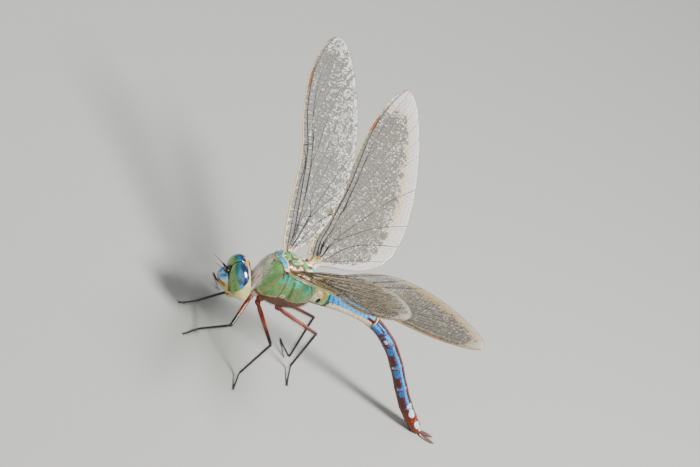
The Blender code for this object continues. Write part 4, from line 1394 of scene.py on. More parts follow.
def add_bristles(label):
    """The bristles of one leg, as a piece of their own."""
    hip, knee, ankle, heel, _ = leg_joints(label)
    thigh, shin, foot_way = unit(knee - hip), unit(ankle - knee), unit(heel - ankle)
    lines = bristle_lines(hip + thigh * 1.8, knee - thigh * 0.3, 0.40, ROWS["femur"])
    lines += bristle_lines(knee + shin * 0.8, ankle - shin * 0.2, 0.24, ROWS["tibia"])
    lines += bristle_lines(ankle + foot_way * 0.3, heel, 0.17, ROWS["foot"])
    base = bpy.data.meshes.new("bristle_lines")
    ends = np.array([place for start, end, _ in lines for place in (start, end)])
    base.from_pydata((ends * MM).tolist(), [(2 * n, 2 * n + 1) for n in range(len(lines))], [])
    ways_out = base.attributes.new("outward", "FLOAT_VECTOR", "POINT")
    ways_out.data.foreach_set("vector", np.repeat([out for _, _, out in lines], 2, axis=0).ravel())
    made = grown(f"bristles_{label}", base, bristle_tree, {
        "Spacing": 0.46 * MM, "Length": 0.95 * MM, "Width": 0.045 * MM, "Lean": 0.75,
        "Seed": 7, "Finish": spine_finish})
    for v in made.vertices:
        v.co.z = max(v.co.z, 0.0)
    register(bpy.data.objects.new(f"bristles_{label}", made), "leg")


print("rows of bristles:", ROWS)

# %% [markdown]
# With bones, feet and bristles described, the six legs are built one by one.

# %% Build the legs
for label in LEGS:
    leg = Shells()
    add_leg_bones(leg, label)
    add_foot(leg, label)
    leg.make(f"leg_{label}", [leg_finish], "leg", f"femur_{label}", f"tibia_{label}",
             f"tarsus_{label}")
    add_bristles(label)

# %% [markdown]
# ## Wings
# A wing is a clear film held by a net of veins. A place on it is told by its share of the span
# and by `back`, which runs from 0 at the leading edge to 1 at the trailing edge. The outlines,
# hinges and directions are the solid model's. Each row of an outline is a share, and how far
# the two edges lie in front of the hinge line there.

# %% Wing outlines
WINGS = {
    "fore": dict(
        hinge=(1.3, 2.4, 5.1), span=50.0, raised=(35.0, 33.5), swept=(1.5, 3.0),
        outline=np.array((
            (-0.03, 0.8, -0.9), (0.015, 1.0, -1.1), (0.04, 1.4, -2.0), (0.08, 1.7, -3.8),
            (0.13, 1.8, -5.5), (0.20, 1.9, -6.9), (0.30, 1.9, -8.2), (0.40, 1.9, -8.8),
            (0.50, 2.3, -8.8), (0.60, 3.3, -8.3), (0.70, 3.9, -7.3), (0.79, 4.0, -6.1),
            (0.86, 3.7, -4.9), (0.92, 3.0, -3.6), (0.96, 2.2, -2.5), (0.985, 1.3, -1.5),
            (0.996, 0.6, -0.9), (1.0, -0.1, -0.25)))),
    "hind": dict(
        hinge=(-4.4, 2.4, 5.1), span=48.5, raised=(32.0, 28.5), swept=(22.5, 23.0),
        outline=np.array((
            (-0.03, 0.7, -1.0), (0.015, 1.1, -2.6), (0.035, 1.6, -6.2), (0.065, 1.9, -9.6),
            (0.11, 2.1, -12.2), (0.17, 2.2, -13.7), (0.25, 2.2, -14.2), (0.35, 2.1, -13.9),
            (0.45, 2.2, -13.0), (0.55, 2.6, -11.7), (0.65, 3.0, -10.1), (0.74, 3.1, -8.4),
            (0.82, 2.9, -6.7), (0.89, 2.4, -5.0), (0.94, 1.8, -3.6), (0.975, 1.1, -2.2),
            (0.992, 0.5, -1.3), (1.0, -0.2, -0.5))))}
WING_START = -0.03  # the wing reaches this far into its hinge
for pair, spec in WINGS.items():
    print(pair, "wing", spec["span"], "mm long")

# %% [markdown]
# ### Long veins
# The long veins lie in turn on ridges and in valleys, and this pleating is what keeps so thin a
# wing stiff. Each row gives a vein's name, whether it is a ridge (1) or a valley (-1), its
# thickness at the base and the tip, and its course as (share, back). Where a course ends before
# the tip, the vein has met the margin and runs on along it.

# %% Courses of the long veins
VEINS = {
    "fore": (
        ("costa", 1, 0.17, 0.09,
         ((-0.03, 0), (1, 0))),
        ("subcosta", -1, 0.09, 0.05,
         ((-0.03, 0.30), (0.05, 0.22), (0.12, 0.15), (0.30, 0.085), (0.45, 0.070), (0.492, 0.0))),
        ("radius", 1, 0.14, 0.07,
         ((-0.03, 0.42), (0.05, 0.36), (0.12, 0.27), (0.30, 0.155), (0.50, 0.100),
          (0.73, 0.066), (0.86, 0.080), (0.93, 0.12), (1, 0.2))),
        ("radial_first", -1, 0.09, 0.04,
         ((-0.03, 0.43), (0.05, 0.37), (0.135, 0.30), (0.20, 0.29), (0.30, 0.245),
          (0.40, 0.215), (0.50, 0.19), (0.62, 0.18), (0.72, 0.19), (0.82, 0.23), (0.90, 0.31),
          (0.97, 0.44), (1, 0.5))),
        ("radial_between", 1, 0.05, 0.035,
         ((-0.03, 0.44), (0.135, 0.305), (0.30, 0.25), (0.50, 0.195), (0.64, 0.19),
          (0.72, 0.26), (0.80, 0.36), (0.90, 0.53), (0.96, 0.68), (1, 0.75))),
        ("radial_second", -1, 0.07, 0.035,
         ((-0.03, 0.45), (0.135, 0.31), (0.30, 0.255), (0.50, 0.20), (0.56, 0.205),
          (0.65, 0.29), (0.75, 0.44), (0.85, 0.64), (0.92, 0.83), (0.96, 1))),
        ("third_between", 1, 0.08, 0.04,
         ((-0.03, 0.46), (0.135, 0.315), (0.30, 0.26), (0.39, 0.225), (0.50, 0.31),
          (0.60, 0.42), (0.70, 0.55), (0.80, 0.73), (0.87, 0.92), (0.90, 1))),
        ("radial_fourth", -1, 0.07, 0.04,
         ((-0.03, 0.47), (0.135, 0.32), (0.28, 0.265), (0.40, 0.37), (0.50, 0.48),
          (0.60, 0.60), (0.70, 0.76), (0.77, 0.93), (0.80, 1))),
        ("media", 1, 0.08, 0.04,
         ((-0.03, 0.48), (0.05, 0.44), (0.135, 0.36), (0.20, 0.38), (0.30, 0.43), (0.40, 0.52),
          (0.50, 0.63), (0.60, 0.77), (0.68, 0.94), (0.71, 1))),
        ("cubitus", -1, 0.12, 0.04,
         ((-0.03, 0.52), (0.05, 0.50), (0.13, 0.49), (0.20, 0.52), (0.30, 0.63), (0.40, 0.77),
          (0.48, 0.93), (0.51, 1))),
        ("cubitus_hind", 1, 0.09, 0.045,
         ((-0.03, 0.54), (0.05, 0.52), (0.13, 0.51), (0.18, 0.56), (0.25, 0.72), (0.31, 0.90),
          (0.34, 1))),
        ("anal", -1, 0.10, 0.05,
         ((-0.03, 0.70), (0.05, 0.68), (0.12, 0.69), (0.16, 0.75), (0.20, 0.90), (0.22, 1)))),
    "hind": (
        ("costa", 1, 0.17, 0.09,
         ((-0.03, 0), (1, 0))),
        ("subcosta", -1, 0.09, 0.05,
         ((-0.03, 0.26), (0.03, 0.14), (0.08, 0.075), (0.20, 0.055), (0.36, 0.050), (0.40, 0.0))),
        ("radius", 1, 0.14, 0.07,
         ((-0.03, 0.36), (0.03, 0.22), (0.08, 0.135), (0.20, 0.105), (0.40, 0.085),
          (0.60, 0.075), (0.72, 0.068), (0.83, 0.085), (0.92, 0.13), (1, 0.2))),
        ("radial_first", -1, 0.09, 0.04,
         ((-0.03, 0.37), (0.03, 0.23), (0.10, 0.15), (0.20, 0.155), (0.30, 0.15), (0.40, 0.14),
          (0.50, 0.145), (0.62, 0.16), (0.72, 0.19), (0.82, 0.24), (0.90, 0.32), (0.97, 0.45),
          (1, 0.5))),
        ("radial_between", 1, 0.05, 0.035,
         ((-0.03, 0.38), (0.10, 0.155), (0.30, 0.155), (0.50, 0.15), (0.58, 0.165),
          (0.68, 0.26), (0.80, 0.40), (0.90, 0.57), (0.96, 0.70), (1, 0.75))),
        ("radial_second", -1, 0.07, 0.035,
         ((-0.03, 0.39), (0.10, 0.16), (0.30, 0.16), (0.47, 0.155), (0.55, 0.21), (0.65, 0.33),
          (0.75, 0.48), (0.85, 0.68), (0.92, 0.88), (0.95, 1))),
        ("third_between", 1, 0.08, 0.04,
         ((-0.03, 0.40), (0.10, 0.165), (0.29, 0.165), (0.40, 0.225), (0.50, 0.31),
          (0.60, 0.42), (0.70, 0.57), (0.80, 0.78), (0.86, 0.94), (0.89, 1))),
        ("radial_fourth", -1, 0.07, 0.04,
         ((-0.03, 0.41), (0.10, 0.17), (0.20, 0.17), (0.30, 0.23), (0.40, 0.32), (0.50, 0.43),
          (0.60, 0.57), (0.70, 0.75), (0.76, 0.91), (0.79, 1))),
        ("media", 1, 0.08, 0.04,
         ((-0.03, 0.42), (0.03, 0.26), (0.10, 0.18), (0.20, 0.22), (0.30, 0.30), (0.40, 0.41),
          (0.50, 0.54), (0.60, 0.71), (0.67, 0.88), (0.71, 1))),
        ("cubitus", -1, 0.12, 0.04,
         ((-0.03, 0.48), (0.03, 0.32), (0.10, 0.245), (0.17, 0.28), (0.25, 0.37), (0.35, 0.52),
          (0.45, 0.71), (0.52, 0.92), (0.545, 1))),
        ("cubitus_hind", 1, 0.09, 0.045,
         ((-0.03, 0.50), (0.03, 0.34), (0.10, 0.265), (0.16, 0.33), (0.22, 0.46), (0.28, 0.63),
          (0.33, 0.85), (0.36, 1))),
        ("anal", -1, 0.10, 0.05,
         ((-0.03, 0.62), (0.03, 0.44), (0.08, 0.40), (0.13, 0.45), (0.18, 0.60), (0.22, 0.82),
          (0.245, 1))),
        ("anal_hind", 1, 0.08, 0.045,
         ((-0.03, 0.75), (0.03, 0.60), (0.06, 0.62), (0.10, 0.74), (0.14, 0.93), (0.155, 1))))}


def run_out(course):
    """A course with its last part along the margin to the tip."""
    return course if course[-1][0] == 1 else (*course, (1, course[-1][1]))


print("long veins:", [len(rows) for rows in VEINS.values()])

# %% [markdown]
# ### The surface of a wing
# `Wing` turns a share and a `back` into a place on the body. It goes along the span, back along
# the chord, and up by the arch of the wing and its pleats. The pleats flatten out towards the
# tip and the hind margin.

# %% One wing
CHORD_RAISED = (26.0, 30.0)  # degrees, left and right
WING_SAG = 0.35
PLEAT, PLEAT_FADE = 0.17, 0.75


class Wing:
    """One wing: its directions, outline and long veins."""

    def __init__(self, pair, side):
        spec = WINGS[pair]
        pick = 0 if side > 0 else 1
        r, s = math.radians(spec["raised"][pick]), math.radians(spec["swept"][pick])
        self.pair, self.side, self.length = pair, side, spec["span"]
        self.name = f"wing_{pair}_{'left' if side > 0 else 'right'}"
        self.hinge = np.array(spec["hinge"]) * (1, side, 1)
        self.span = np.array((-math.cos(r) * math.sin(s), side * math.cos(r) * math.cos(s),
                              math.sin(r)))
        rear = np.array((-1.0, 0, 0))
        chord = unit(rear - self.span * rear.dot(self.span))
        normal = np.cross(self.span, chord) * side
        a = math.radians(CHORD_RAISED[pick])
        self.chord = chord * math.cos(a) + normal * math.sin(a)
        self.normal = normal * math.cos(a) - chord * math.sin(a)
        self.outline = spec["outline"]
        self.veins = VEINS[pair]
        self.shares = np.linspace(WING_START, 1, 400)
        lead, trail = self.edges(self.shares)
        self.widths = lead - trail

    def edges(self, share):
        """Leading and trailing edge, in millimetres before the hinge line."""
        both = curve_through(self.outline[:, 0], self.outline[:, 1:], share)
        return both[..., 0], both[..., 1]

    def width(self, share):
        """Width of the wing, in millimetres."""
        return np.interp(share, self.shares, self.widths)

    def courses(self, share):
        """How far back each long vein lies, in order, at these shares."""
        rows = []
        for *_, course in self.veins:
            knots = np.array(run_out(course), float)
            rows.append(np.clip(curve_through(knots[:, 0], knots[:, 1], share), 0, 1))
        return np.maximum.accumulate(np.stack(rows), axis=0)

    def pleat(self, share, back):
        """Height of the pleated surface at single places."""
        share, back = np.atleast_1d(share), np.atleast_1d(back)
        levels = np.array([vein[1] for vein in self.veins] + [0.0])
        at = np.concatenate([self.courses(share), np.ones((1, len(share)))])
        at = at + np.arange(len(levels))[:, None] * 1e-5
        high = np.zeros(len(share))
        for low, top, start, end in zip(at, at[1:], levels, levels[1:]):
            inside = (back >= low) & (back <= top)
            high = np.where(inside, start + (end - start) * (back - low) / (top - low), high)
        return PLEAT * high * (1 - PLEAT_FADE * np.clip(share, 0, 1)) * (1 - back**2)

    def place(self, share, back, lift=0.0):
        """Places on the wing, in the body's directions."""
        share, back = np.atleast_1d(share).astype(float), np.atleast_1d(back).astype(float)
        lead, trail = self.edges(share)
        ahead = lead + (trail - lead) * back
        arch = WING_SAG * np.sin(math.pi * back) * np.minimum(1, (lead - trail) / 8)
        high = arch + self.pleat(share, back) + lift
        return (self.hinge + share[:, None] * self.length * self.span
                - ahead[:, None] * self.chord + high[:, None] * self.normal)


wings = [Wing(pair, side) for pair in WINGS for side in (1, -1)]
print([wing.name for wing in wings])

# %% [markdown]
# ### The net of small veins
# Between two long veins the film is divided into cells. Where the strip is narrow they are one
# row of oblongs, and where it is wide they are honeycomb. Both come from one rule: scatter a
# seed for each cell in staggered rows, mirror the outer seeds across both long veins, and draw
# the walls halfway between neighbours.

# %% Seeds of the cells
CELLS_FROM, CELLS_TO, SKIP = 0.012, 0.995, 0.012  # shares of the span
CELL_WIDE, CELL_NARROWING = 1.12, 0.42  # mm at the leading edge, and how much less behind it
THIN_STRIP = 0.16  # mm: a narrower strip has no cells
SHAKE = 0.13  # how far a seed strays from its even place, as a share of its cell


def strip_seeds(wing, upper, lower, draw):
    """Seeds between two veins as (share, part of the strip), and the mirrored ones."""
    seeds, mirrored, share = [], [], CELLS_FROM
    while share < CELLS_TO:
        top, low = float(upper(share)), float(lower(share))
        width = (low - top) * wing.width(share)
        if width < THIN_STRIP:
            share += SKIP
            continue
        size = CELL_WIDE - CELL_NARROWING * (top + low) / 2
        rows = max(1, round(float(width) / size))
        step = size if rows > 1 else 1.1 + 0.3 * (width < 1.1)
        for k in range(rows):
            stagger = (0.5 * step / wing.length) * (k % 2)
            wander = draw.uniform(-SHAKE, SHAKE, 2) * (1 if rows > 1 else 0.4)
            r = (k + 0.5 + wander[0] * (rows > 1)) / rows
            at = share + stagger + wander[1] * step / wing.length
            seeds.append((at, r))
            if k == 0:
                mirrored.append((at, -r))
            if k == rows - 1:
                mirrored.append((at, 2 - r))
        share += step / wing.length * (1 if rows == 1 else 0.92)
    return seeds, mirrored


print("a cell is about", CELL_WIDE, "mm wide")

# %% [markdown]
# The walls are found from the Delaunay triangles of the seeds. The circumcentres of two
# triangles that share a side are the two ends of the wall between that side's seeds.

# %% Walls of the cells
LONGEST_WALL = 3.2
BACK_SCALE = 8  # mm: about how long one whole `back` is


def corner_of(a, b, c):
    """The point at equal distances from three seeds."""
    ax, ay, bx, by, cx, cy = *a, *b, *c
    down = 2 * (ax * (by - cy) + bx * (cy - ay) + cx * (ay - by))
    if abs(down) < 1e-9:
        return (ax + bx + cx) / 3, (ay + by + cy) / 3
    a2, b2, c2 = ax * ax + ay * ay, bx * bx + by * by, cx * cx + cy * cy
    return ((a2 * (by - cy) + b2 * (cy - ay) + c2 * (ay - by)) / down,
            (a2 * (cx - bx) + b2 * (ax - cx) + c2 * (bx - ax)) / down)


def strip_cells(wing, upper, lower, draw):
    """Centres and walls of the cells between two veins, as (share, back)."""
    seeds, mirrored = strip_seeds(wing, upper, lower, draw)
    if len(seeds) < 3:
        return [], []

    def within(at, r):
        top, low = float(upper(at)), float(lower(at))
        return top + (low - top) * r

    def kept_inside(x, y):
        at = min(max(x / wing.length, 0.0), 0.999)
        return at, min(max(y / wing.width(at), float(upper(at))), float(lower(at)))

    spots = [Vector((at * wing.length, float(wing.width(at) * within(at, r))))
             for at, r in seeds + mirrored]
    made = geometry.delaunay_2d_cdt(spots, [], [], 0, 1e-6)
    verts, triangles, origin = made[0], made[2], made[3]
    real = [bool(o) and min(o) < len(seeds) for o in origin]
    corners = [corner_of(*[verts[i] for i in tri]) for tri in triangles]
    around = {}
    for number, tri in enumerate(triangles):
        for a, b in zip(tri, tri[1:] + tri[:1]):
            around.setdefault((min(a, b), max(a, b)), []).append(number)
    walls = []
    for (a, b), pair in around.items():
        if len(pair) == 2 and real[a] and real[b]:
            (at_a, back_a), (at_b, back_b) = ends = [kept_inside(*corners[n]) for n in pair]
            if math.hypot((at_a - at_b) * wing.length,
                          (back_a - back_b) * BACK_SCALE) < LONGEST_WALL:
                walls.append(ends)
    return [(at, within(at, r)) for at, r in seeds], walls


def wing_cells(wing, seed):
    """All cell centres and walls of one wing."""
    draw = np.random.default_rng(seed)
    fine = wing.shares
    table = np.concatenate([wing.courses(fine), np.ones((1, len(fine)))])
    centres, walls = [], []
    for upper, lower in zip(table, table[1:]):
        found = strip_cells(wing, lambda s, row=upper: np.interp(s, fine, row),
                            lambda s, row=lower: np.interp(s, fine, row), draw)
        centres += found[0]
        walls += found[1]
    return np.array(centres), walls


nets = [wing_cells(wing, 40 + number) for number, wing in enumerate(wings)]
print("cells:", [len(centres) for centres, _ in nets], "walls:", [len(walls) for _, walls in nets])

# %% [markdown]
# ### Veins as tubes
# The veins start as bare edges whose points know a thickness and a tone. Geometry Nodes turns
# the edges into curves, gives the curves that thickness, and sweeps a small ring along them.

# %% The vein tree
vein_tree, i, o = geometry_group("vein tubes", [
    ("Sides", "Int", 5), ("Finish", "Material", None)])
t = vein_tree
lines = put(t, "GeometryNodeMeshToCurve", {"Mesh": i["Geometry"]})
thickness = put(t, "GeometryNodeInputNamedAttribute", {"Name": "thickness"}, data_type="FLOAT")
ring = put(t, "GeometryNodeCurvePrimitiveCircle", {"Resolution": i["Sides"], "Radius": 1.0})
swept = put(t, "GeometryNodeCurveToMesh", {
    "Curve": lines.outputs[0], "Profile Curve": ring.outputs[0], "Scale": thickness.outputs[0],
    "Fill Caps": True})
finish_tree(t, swept.outputs[0], i["Finish"], o)
print(vein_tree.name, len(t.nodes), "nodes")

# %% [markdown]
# A vein's tone says how pale it is: 0 is black-brown, 0.3 amber and 0.62 straw. The costa along
# the leading edge is straw, the radius and cubitus are amber, and every long vein is pale at its
# very base. On the right wings all long veins but the costa are darkened, which is painted shade.
# A few crossing veins have fixed places: the arculus, the triangle, and the knot in the leading
# edge.

# %% Edges for the veins
TONES = {"costa": 1.0, "radius": 0.5, "cubitus": 0.42}
AMBER_FROM, STRAW_FROM = 0.3, 0.62
# Painted shade: the right wings' long veins, all but the costa, keep this share of their tone.
RIGHT_PAINTED_SHADE = 0.3  # the tones of the right wings' veins are lower, all but the costa's
MARGIN_THICK, MARGIN_TONE, CROSSING_TONE = 0.055, 0.35, 0.15
CROSSINGS = {  # shares, backs and thickness
    "fore": (((0.133, 0.137), (0.25, 0.50), 0.085), ((0.178, 0.184), (0.37, 0.54), 0.075),
             ((0.184, 0.25), (0.54, 0.405), 0.07), ((0.488, 0.496), (0.0, 0.115), 0.13),
             ((0.496, 0.500), (0.115, 0.19), 0.075)),
    "hind": (((0.098, 0.102), (0.12, 0.25), 0.085), ((0.150, 0.156), (0.195, 0.31), 0.075),
             ((0.156, 0.215), (0.31, 0.235), 0.07), ((0.396, 0.404), (0.0, 0.085), 0.13),
             ((0.404, 0.408), (0.085, 0.14), 0.075))}


def add_line(store, wing, shares, backs, thick, tone):
    """Adds one vein through places on a wing to the edges in store."""
    start, count = len(store["points"]), len(shares)
    store["points"] += from_body(wing.place(shares, backs)).tolist()
    store["edges"] += [(start + k, start + k + 1) for k in range(count - 1)]
    store["thickness"] += list(np.broadcast_to(thick, count) * MM)
    store["tone"] += list(np.broadcast_to(tone, count))


def add_long_veins(store, wing):
    """Adds the long veins, each from its base to where it meets the next one or the margin."""
    shares = np.linspace(-0.025, 0.998, 150)
    previous = np.full(len(shares), -1.0)
    for number, (vein, back) in enumerate(zip(wing.veins, wing.courses(shares))):
        name, _, thick, thin, _ = vein
        runs = np.flatnonzero(((back - previous > 0.004) & (back < 0.995)) | (number == 0))
        previous = back
        if not len(runs):
            continue
        low, high = max(runs[0] - 1, 0), min(runs[-1] + 2, len(shares))
        along_it = shares[low:high]
        wide = np.interp(along_it, (WING_START, 0.12, 1), (thick * 1.25, thick, thin))
        tone = TONES.get(name, 0.0) * np.interp(along_it, (0, 0.5, 1), (1.0, 0.8, 0.55))
        # Painted shade on the right wings' veins.
        if wing.side < 0 and number:
            tone = tone * RIGHT_PAINTED_SHADE
        add_line(store, wing, along_it, back[low:high], wide,
                 np.maximum(tone, np.interp(along_it, (0.02, 0.05), (0.8, 0.0))))


def vein_edges(wing, walls):
    """Bare edges for every vein of one wing, with thickness and tone."""
    store = dict(points=[], edges=[], thickness=[], tone=[])
    add_long_veins(store, wing)
    margin = np.linspace(0.005, 0.999, 150)
    add_line(store, wing, margin, np.ones(150), MARGIN_THICK, MARGIN_TONE)
    ends = np.array(walls).reshape(-1, 2)
    start = len(store["points"])
    store["points"] += from_body(wing.place(ends[:, 0], ends[:, 1])).tolist()
    store["edges"] += [(start + k, start + k + 1) for k in range(0, len(ends), 2)]
    store["thickness"] += list(np.interp(ends[:, 1], (0.10, 0.18), (0.040, 0.027)) * MM)
    store["tone"] += [0.0] * len(ends)
    for shares, backs, wide in CROSSINGS[wing.pair]:
        add_line(store, wing, np.linspace(*shares, 8), np.linspace(*backs, 8), wide,
                 CROSSING_TONE)
    return store


print("fixed crossings:", [len(rows) for rows in CROSSINGS.values()])

# %% [markdown]
# ### Film, painted reflection and finish
# Sun on the film makes some spots flash white or gold, and a bright band of reflected light runs
# along the hind margin. Both are painted into the film's colour, as painted glints and a painted
# reflection band. The film's mesh tells the material how far inside the band a point lies, how
# many glints its part of the wing has, how golden it is, how much painted warm sheen it has, how
# smoky, and for every face the random number of its cell. First come the patterns: dust, the
# band's ragged edge, flecks.

# %% Patterns on the film
film = bpy.data.materials.new("wing_film")
film.use_nodes = True
t = film.node_tree
place = own_place(t)
dust = put(t, "ShaderNodeTexNoise", {"Vector": place, "Scale": 4.0, "Detail": 3.0}).outputs[0]
patches = put(t, "ShaderNodeTexNoise", {"Vector": place, "Scale": 0.9, "Detail": 2.0}).outputs[0]
# The painted reflection band, its edge made ragged by the cells.
ragged = sums(t, "MULTIPLY_ADD", sums(t, "SUBTRACT", reading(t, "cell"), 0.5), 1.3,
              reading(t, "painted_reflection"))
painted_reflection_share = put(t, "ShaderNodeMapRange", {"Value": ragged, "From Min": -0.05,
                                        "From Max": 0.2}).outputs[0]
# Painted glints: flecks that flash white or gold, thickest where the glint value is high.
wander = put(t, "ShaderNodeTexNoise", {"Vector": place, "Scale": 3.2, "Detail": 1.0})
shaken = put(t, "ShaderNodeVectorMath", {
    0: wander.outputs["Color"], 1: (0.7, 0.7, 0.7), 2: place},
    operation="MULTIPLY_ADD").outputs[0]
flecks = put(t, "ShaderNodeTexVoronoi", {"Vector": shaken, "Scale": 3.0, "Randomness": 1.0})
chance = put(t, "ShaderNodeSeparateColor", {"Color": flecks.outputs["Color"]}).outputs[0]
patchy = put(t, "ShaderNodeMapRange", {"Value": patches, "From Min": 0.40, "From Max": 0.60,
                                       "To Min": 0.20, "To Max": 2.1}).outputs[0]
near_fleck = put(t, "ShaderNodeMapRange", {"Value": flecks.outputs["Distance"],
                                           "From Min": 0.60, "From Max": 0.42}).outputs[0]
flash = sums(t, "GREATER_THAN", sums(t, "MULTIPLY", reading(t, "painted_glints"), patchy), chance)
flash = sums(t, "MULTIPLY", flash, near_fleck)
print(film.name, "patterns:", len(t.nodes), "nodes")

# %% [markdown]
# The colours follow: clear film, lightened by the painted warm sheen, flecks of painted glint
# over it, and the painted reflection band over both. The film is solid in the band and the flecks
# and only smoky elsewhere, partly by its own tint and partly by painted sheen, and its gloss has
# the faint colours of oil on water.

# %% Colours and clearness of the film
# Whites of the painted reflection band and of the painted glints.
PAINTED_REFLECTION_WHITE, FLECK_WHITE = (0.93, 0.94, 0.97, 1), (0.94, 0.95, 0.98, 1)
painted_warm_sheen, golden = reading(t, "painted_warm_sheen"), reading(t, "gold")
clear_colour = blend(t, dust, tint(50, 47, 34), tint(112, 104, 84))
# Painted warm sheen lightens the clear film.
clear_colour = blend(t, sums(t, "MULTIPLY", painted_warm_sheen, 0.8), clear_colour, tint(150, 140, 124))
# The painted reflection band's colour, from white to gold, greyer where the dust is thick.
painted_reflection_colour = blend(t, golden, PAINTED_REFLECTION_WHITE, tint(228, 194, 122))
painted_reflection_colour = blend(t, sums(t, "MULTIPLY_ADD", dust, 1.8, -0.74, clamp=True), painted_reflection_colour,
                     tint(150, 142, 130))
# The painted glints' colour, white, turning golden with the warm value.
fleck_colour = blend(t, painted_warm_sheen, FLECK_WHITE, tint(228, 206, 160))
colour = blend(t, painted_reflection_share, blend(t, flash, clear_colour, fleck_colour), painted_reflection_colour)
solid = sums(t, "MULTIPLY", painted_reflection_share, sums(t, "MULTIPLY_ADD", dust, 0.3, 0.74))
solid = sums(t, "MAXIMUM", solid, sums(t, "MULTIPLY", flash, 0.95))
# Smoke: partly the film's own tint, partly painted sheen, strongest on the left wings.
smoke_and_painted_sheen_alpha = sums(t, "MULTIPLY", reading(t, "smoke_and_painted_sheen"), sums(t, "MULTIPLY_ADD", dust, 0.8, 0.6))
alpha = sums(t, "MAXIMUM", solid, smoke_and_painted_sheen_alpha, clamp=True)
ripple = put(t, "ShaderNodeBump", {"Height": dust, "Strength": 0.5, "Distance": 0.04 * MM})
shader = t.nodes["Principled BSDF"]
for socket, value in (("Base Color", colour), ("Alpha", alpha), ("Normal", ripple.outputs[0]),
                      ("Roughness", 0.22), ("Thin Film Thickness", 420.0),
                      ("Thin Film IOR", 1.5)):
    feed(t, shader.inputs[socket], value)

vein_finish = plate_finish(
    "vein", tint(40, 28, 26), [("amber", tint(176, 140, 62), 0.1, 0.05),
                               ("straw", tint(236, 214, 160), 0.1, 0.03)],
    blotch=0.7, variation=0.3, smooth=(0.25, 0.45), Coat_Weight=0.3)
mark_finish = plate_finish(
    "wing_mark", tint(178, 138, 124), [("edge", tint(70, 40, 30), 0.05, 0.02)],
    variation=0.2, smooth=(0.25, 0.4), Coat_Weight=0.3)
print("wing finishes:", film.name, vein_finish.name, mark_finish.name)

# %% [markdown]
# The painted reflection band, the painted glints and the painted sheen differ from wing to wing,
# because each meets the light at its own angle. `band` is the width of the painted reflection band
# at some shares, and beyond `tip` all of the wing carries it. The smoke, partly the film's own tint
# and partly painted sheen, starts at its `root` part and grows to the full over `ramp`. The glint
# value is how many flecks there are in the plain parts and in the busy ones, and `gold` and the
# warm value are the tints of band and flecks; the warm value is painted warm sheen, which also
# lightens the clear film.

# %% What the film's points know
LOOKS = {
    "wing_fore_left": dict(
        band=((0.05, 0.3, 0.9), (0.4, 0.8, 1.1)), tip=0.93, smoke_and_painted_sheen=0.56, ramp=(0.38, 0.60),
        root=0.16, painted_glints=(0.34, 0.50), gold=0.35, painted_warm_sheen=0.8),
    "wing_fore_right": dict(
        band=((0.05, 0.3, 0.9), (0.3, 0.4, 0.5)), tip=0.975, smoke_and_painted_sheen=0.30, ramp=(0.2, 0.5),
        root=1.0, painted_glints=(0.11, 0.75), gold=0.1, painted_warm_sheen=0.1),
    "wing_hind_left": dict(
        band=((0.03, 0.3, 0.8), (1.0, 1.9, 2.2)), tip=0.92, smoke_and_painted_sheen=0.58, ramp=(0.2, 0.5),
        root=0.5, painted_glints=(0.10, 0.30), gold=0.9, painted_warm_sheen=0.5),
    "wing_hind_right": dict(
        band=((0.03, 0.15, 0.5, 0.85), (2.4, 3.2, 3.5, 3.2)), tip=0.86, smoke_and_painted_sheen=0.36,
        ramp=(0.2, 0.5), root=1.0, painted_glints=(0.10, 0.42), gold=0.55, painted_warm_sheen=0.3)}


def film_marks(wing, share, back):
    """The numbers that the film's finish reads at each point."""
    look = LOOKS[wing.name]
    lead, trail = wing.edges(share)
    to_margin = (1 - back) * (lead - trail)
    # How far inside the painted reflection band each point lies, in millimetres.
    painted_reflection = np.maximum(curve_through(*look["band"], share) - to_margin,
                       (share - look["tip"]) * wing.length * 0.9)
    # How many painted glints each part of the wing has.
    few, many = look["painted_glints"]
    middle = np.exp(-((share - 0.62) / 0.2) ** 2) * np.clip((back - 0.35) * 2.2, 0, 1)
    base = np.exp(-((share - 0.1) / 0.08) ** 2) * 0.5 * look["root"]
    near_band = np.exp(-((painted_reflection + 0.8) / 1.3) ** 2)
    painted_glints = few + (many - few) * np.maximum.reduce([middle, base, near_band])
    inner = np.clip(1 - np.abs(painted_reflection - 0.4) / 2.2, 0, 1) * np.clip((share - 0.12) * 4, 0, 1)
    gold = look["gold"] * (0.25 + 0.75 * inner) * np.clip(1.5 - share * 0.8, 0.4, 1)
    # Smoke, partly the film's own tint and partly painted sheen.
    smoke_and_painted_sheen = look["smoke_and_painted_sheen"] * np.interp(share + 0.14 * (back - 0.5), look["ramp"], (look["root"], 1))
    # The warm value is painted warm sheen on the clear film and the glints.
    return dict(painted_reflection=painted_reflection, painted_glints=painted_glints, gold=gold, smoke_and_painted_sheen=smoke_and_painted_sheen,
                painted_warm_sheen=np.full(len(share), look["painted_warm_sheen"]))


def cell_numbers(wing, centres, share, back, faces, draw):
    """For each face of the film, the random number of the cell that it lies in."""
    finder = KDTree(len(centres))
    for number, (at, across) in enumerate(centres):
        finder.insert((at * wing.length, across * wing.width(at), 0), number)
    finder.balance()
    lead, trail = wing.edges(share)
    flat = np.stack([share * wing.length, back * (lead - trail), share * 0], 1)
    nearest = [finder.find(flat[face[0]])[1] for face in faces]
    return draw.random(len(centres))[nearest]


print("looks for", *LOOKS)

# %% [markdown]
# The film is a thin closed shell on the pleated surface. The wing mark, or stigma, is a thick
# coloured cell behind the leading edge near the tip, whose weight keeps the wing from
# fluttering. It is a small loft of its own.

# %% Film and wing mark
FILM_HALF = 0.016  # half the film's thickness
STIGMA = {"fore": (0.742, 0.845), "hind": (0.728, 0.812)}  # from and to which share


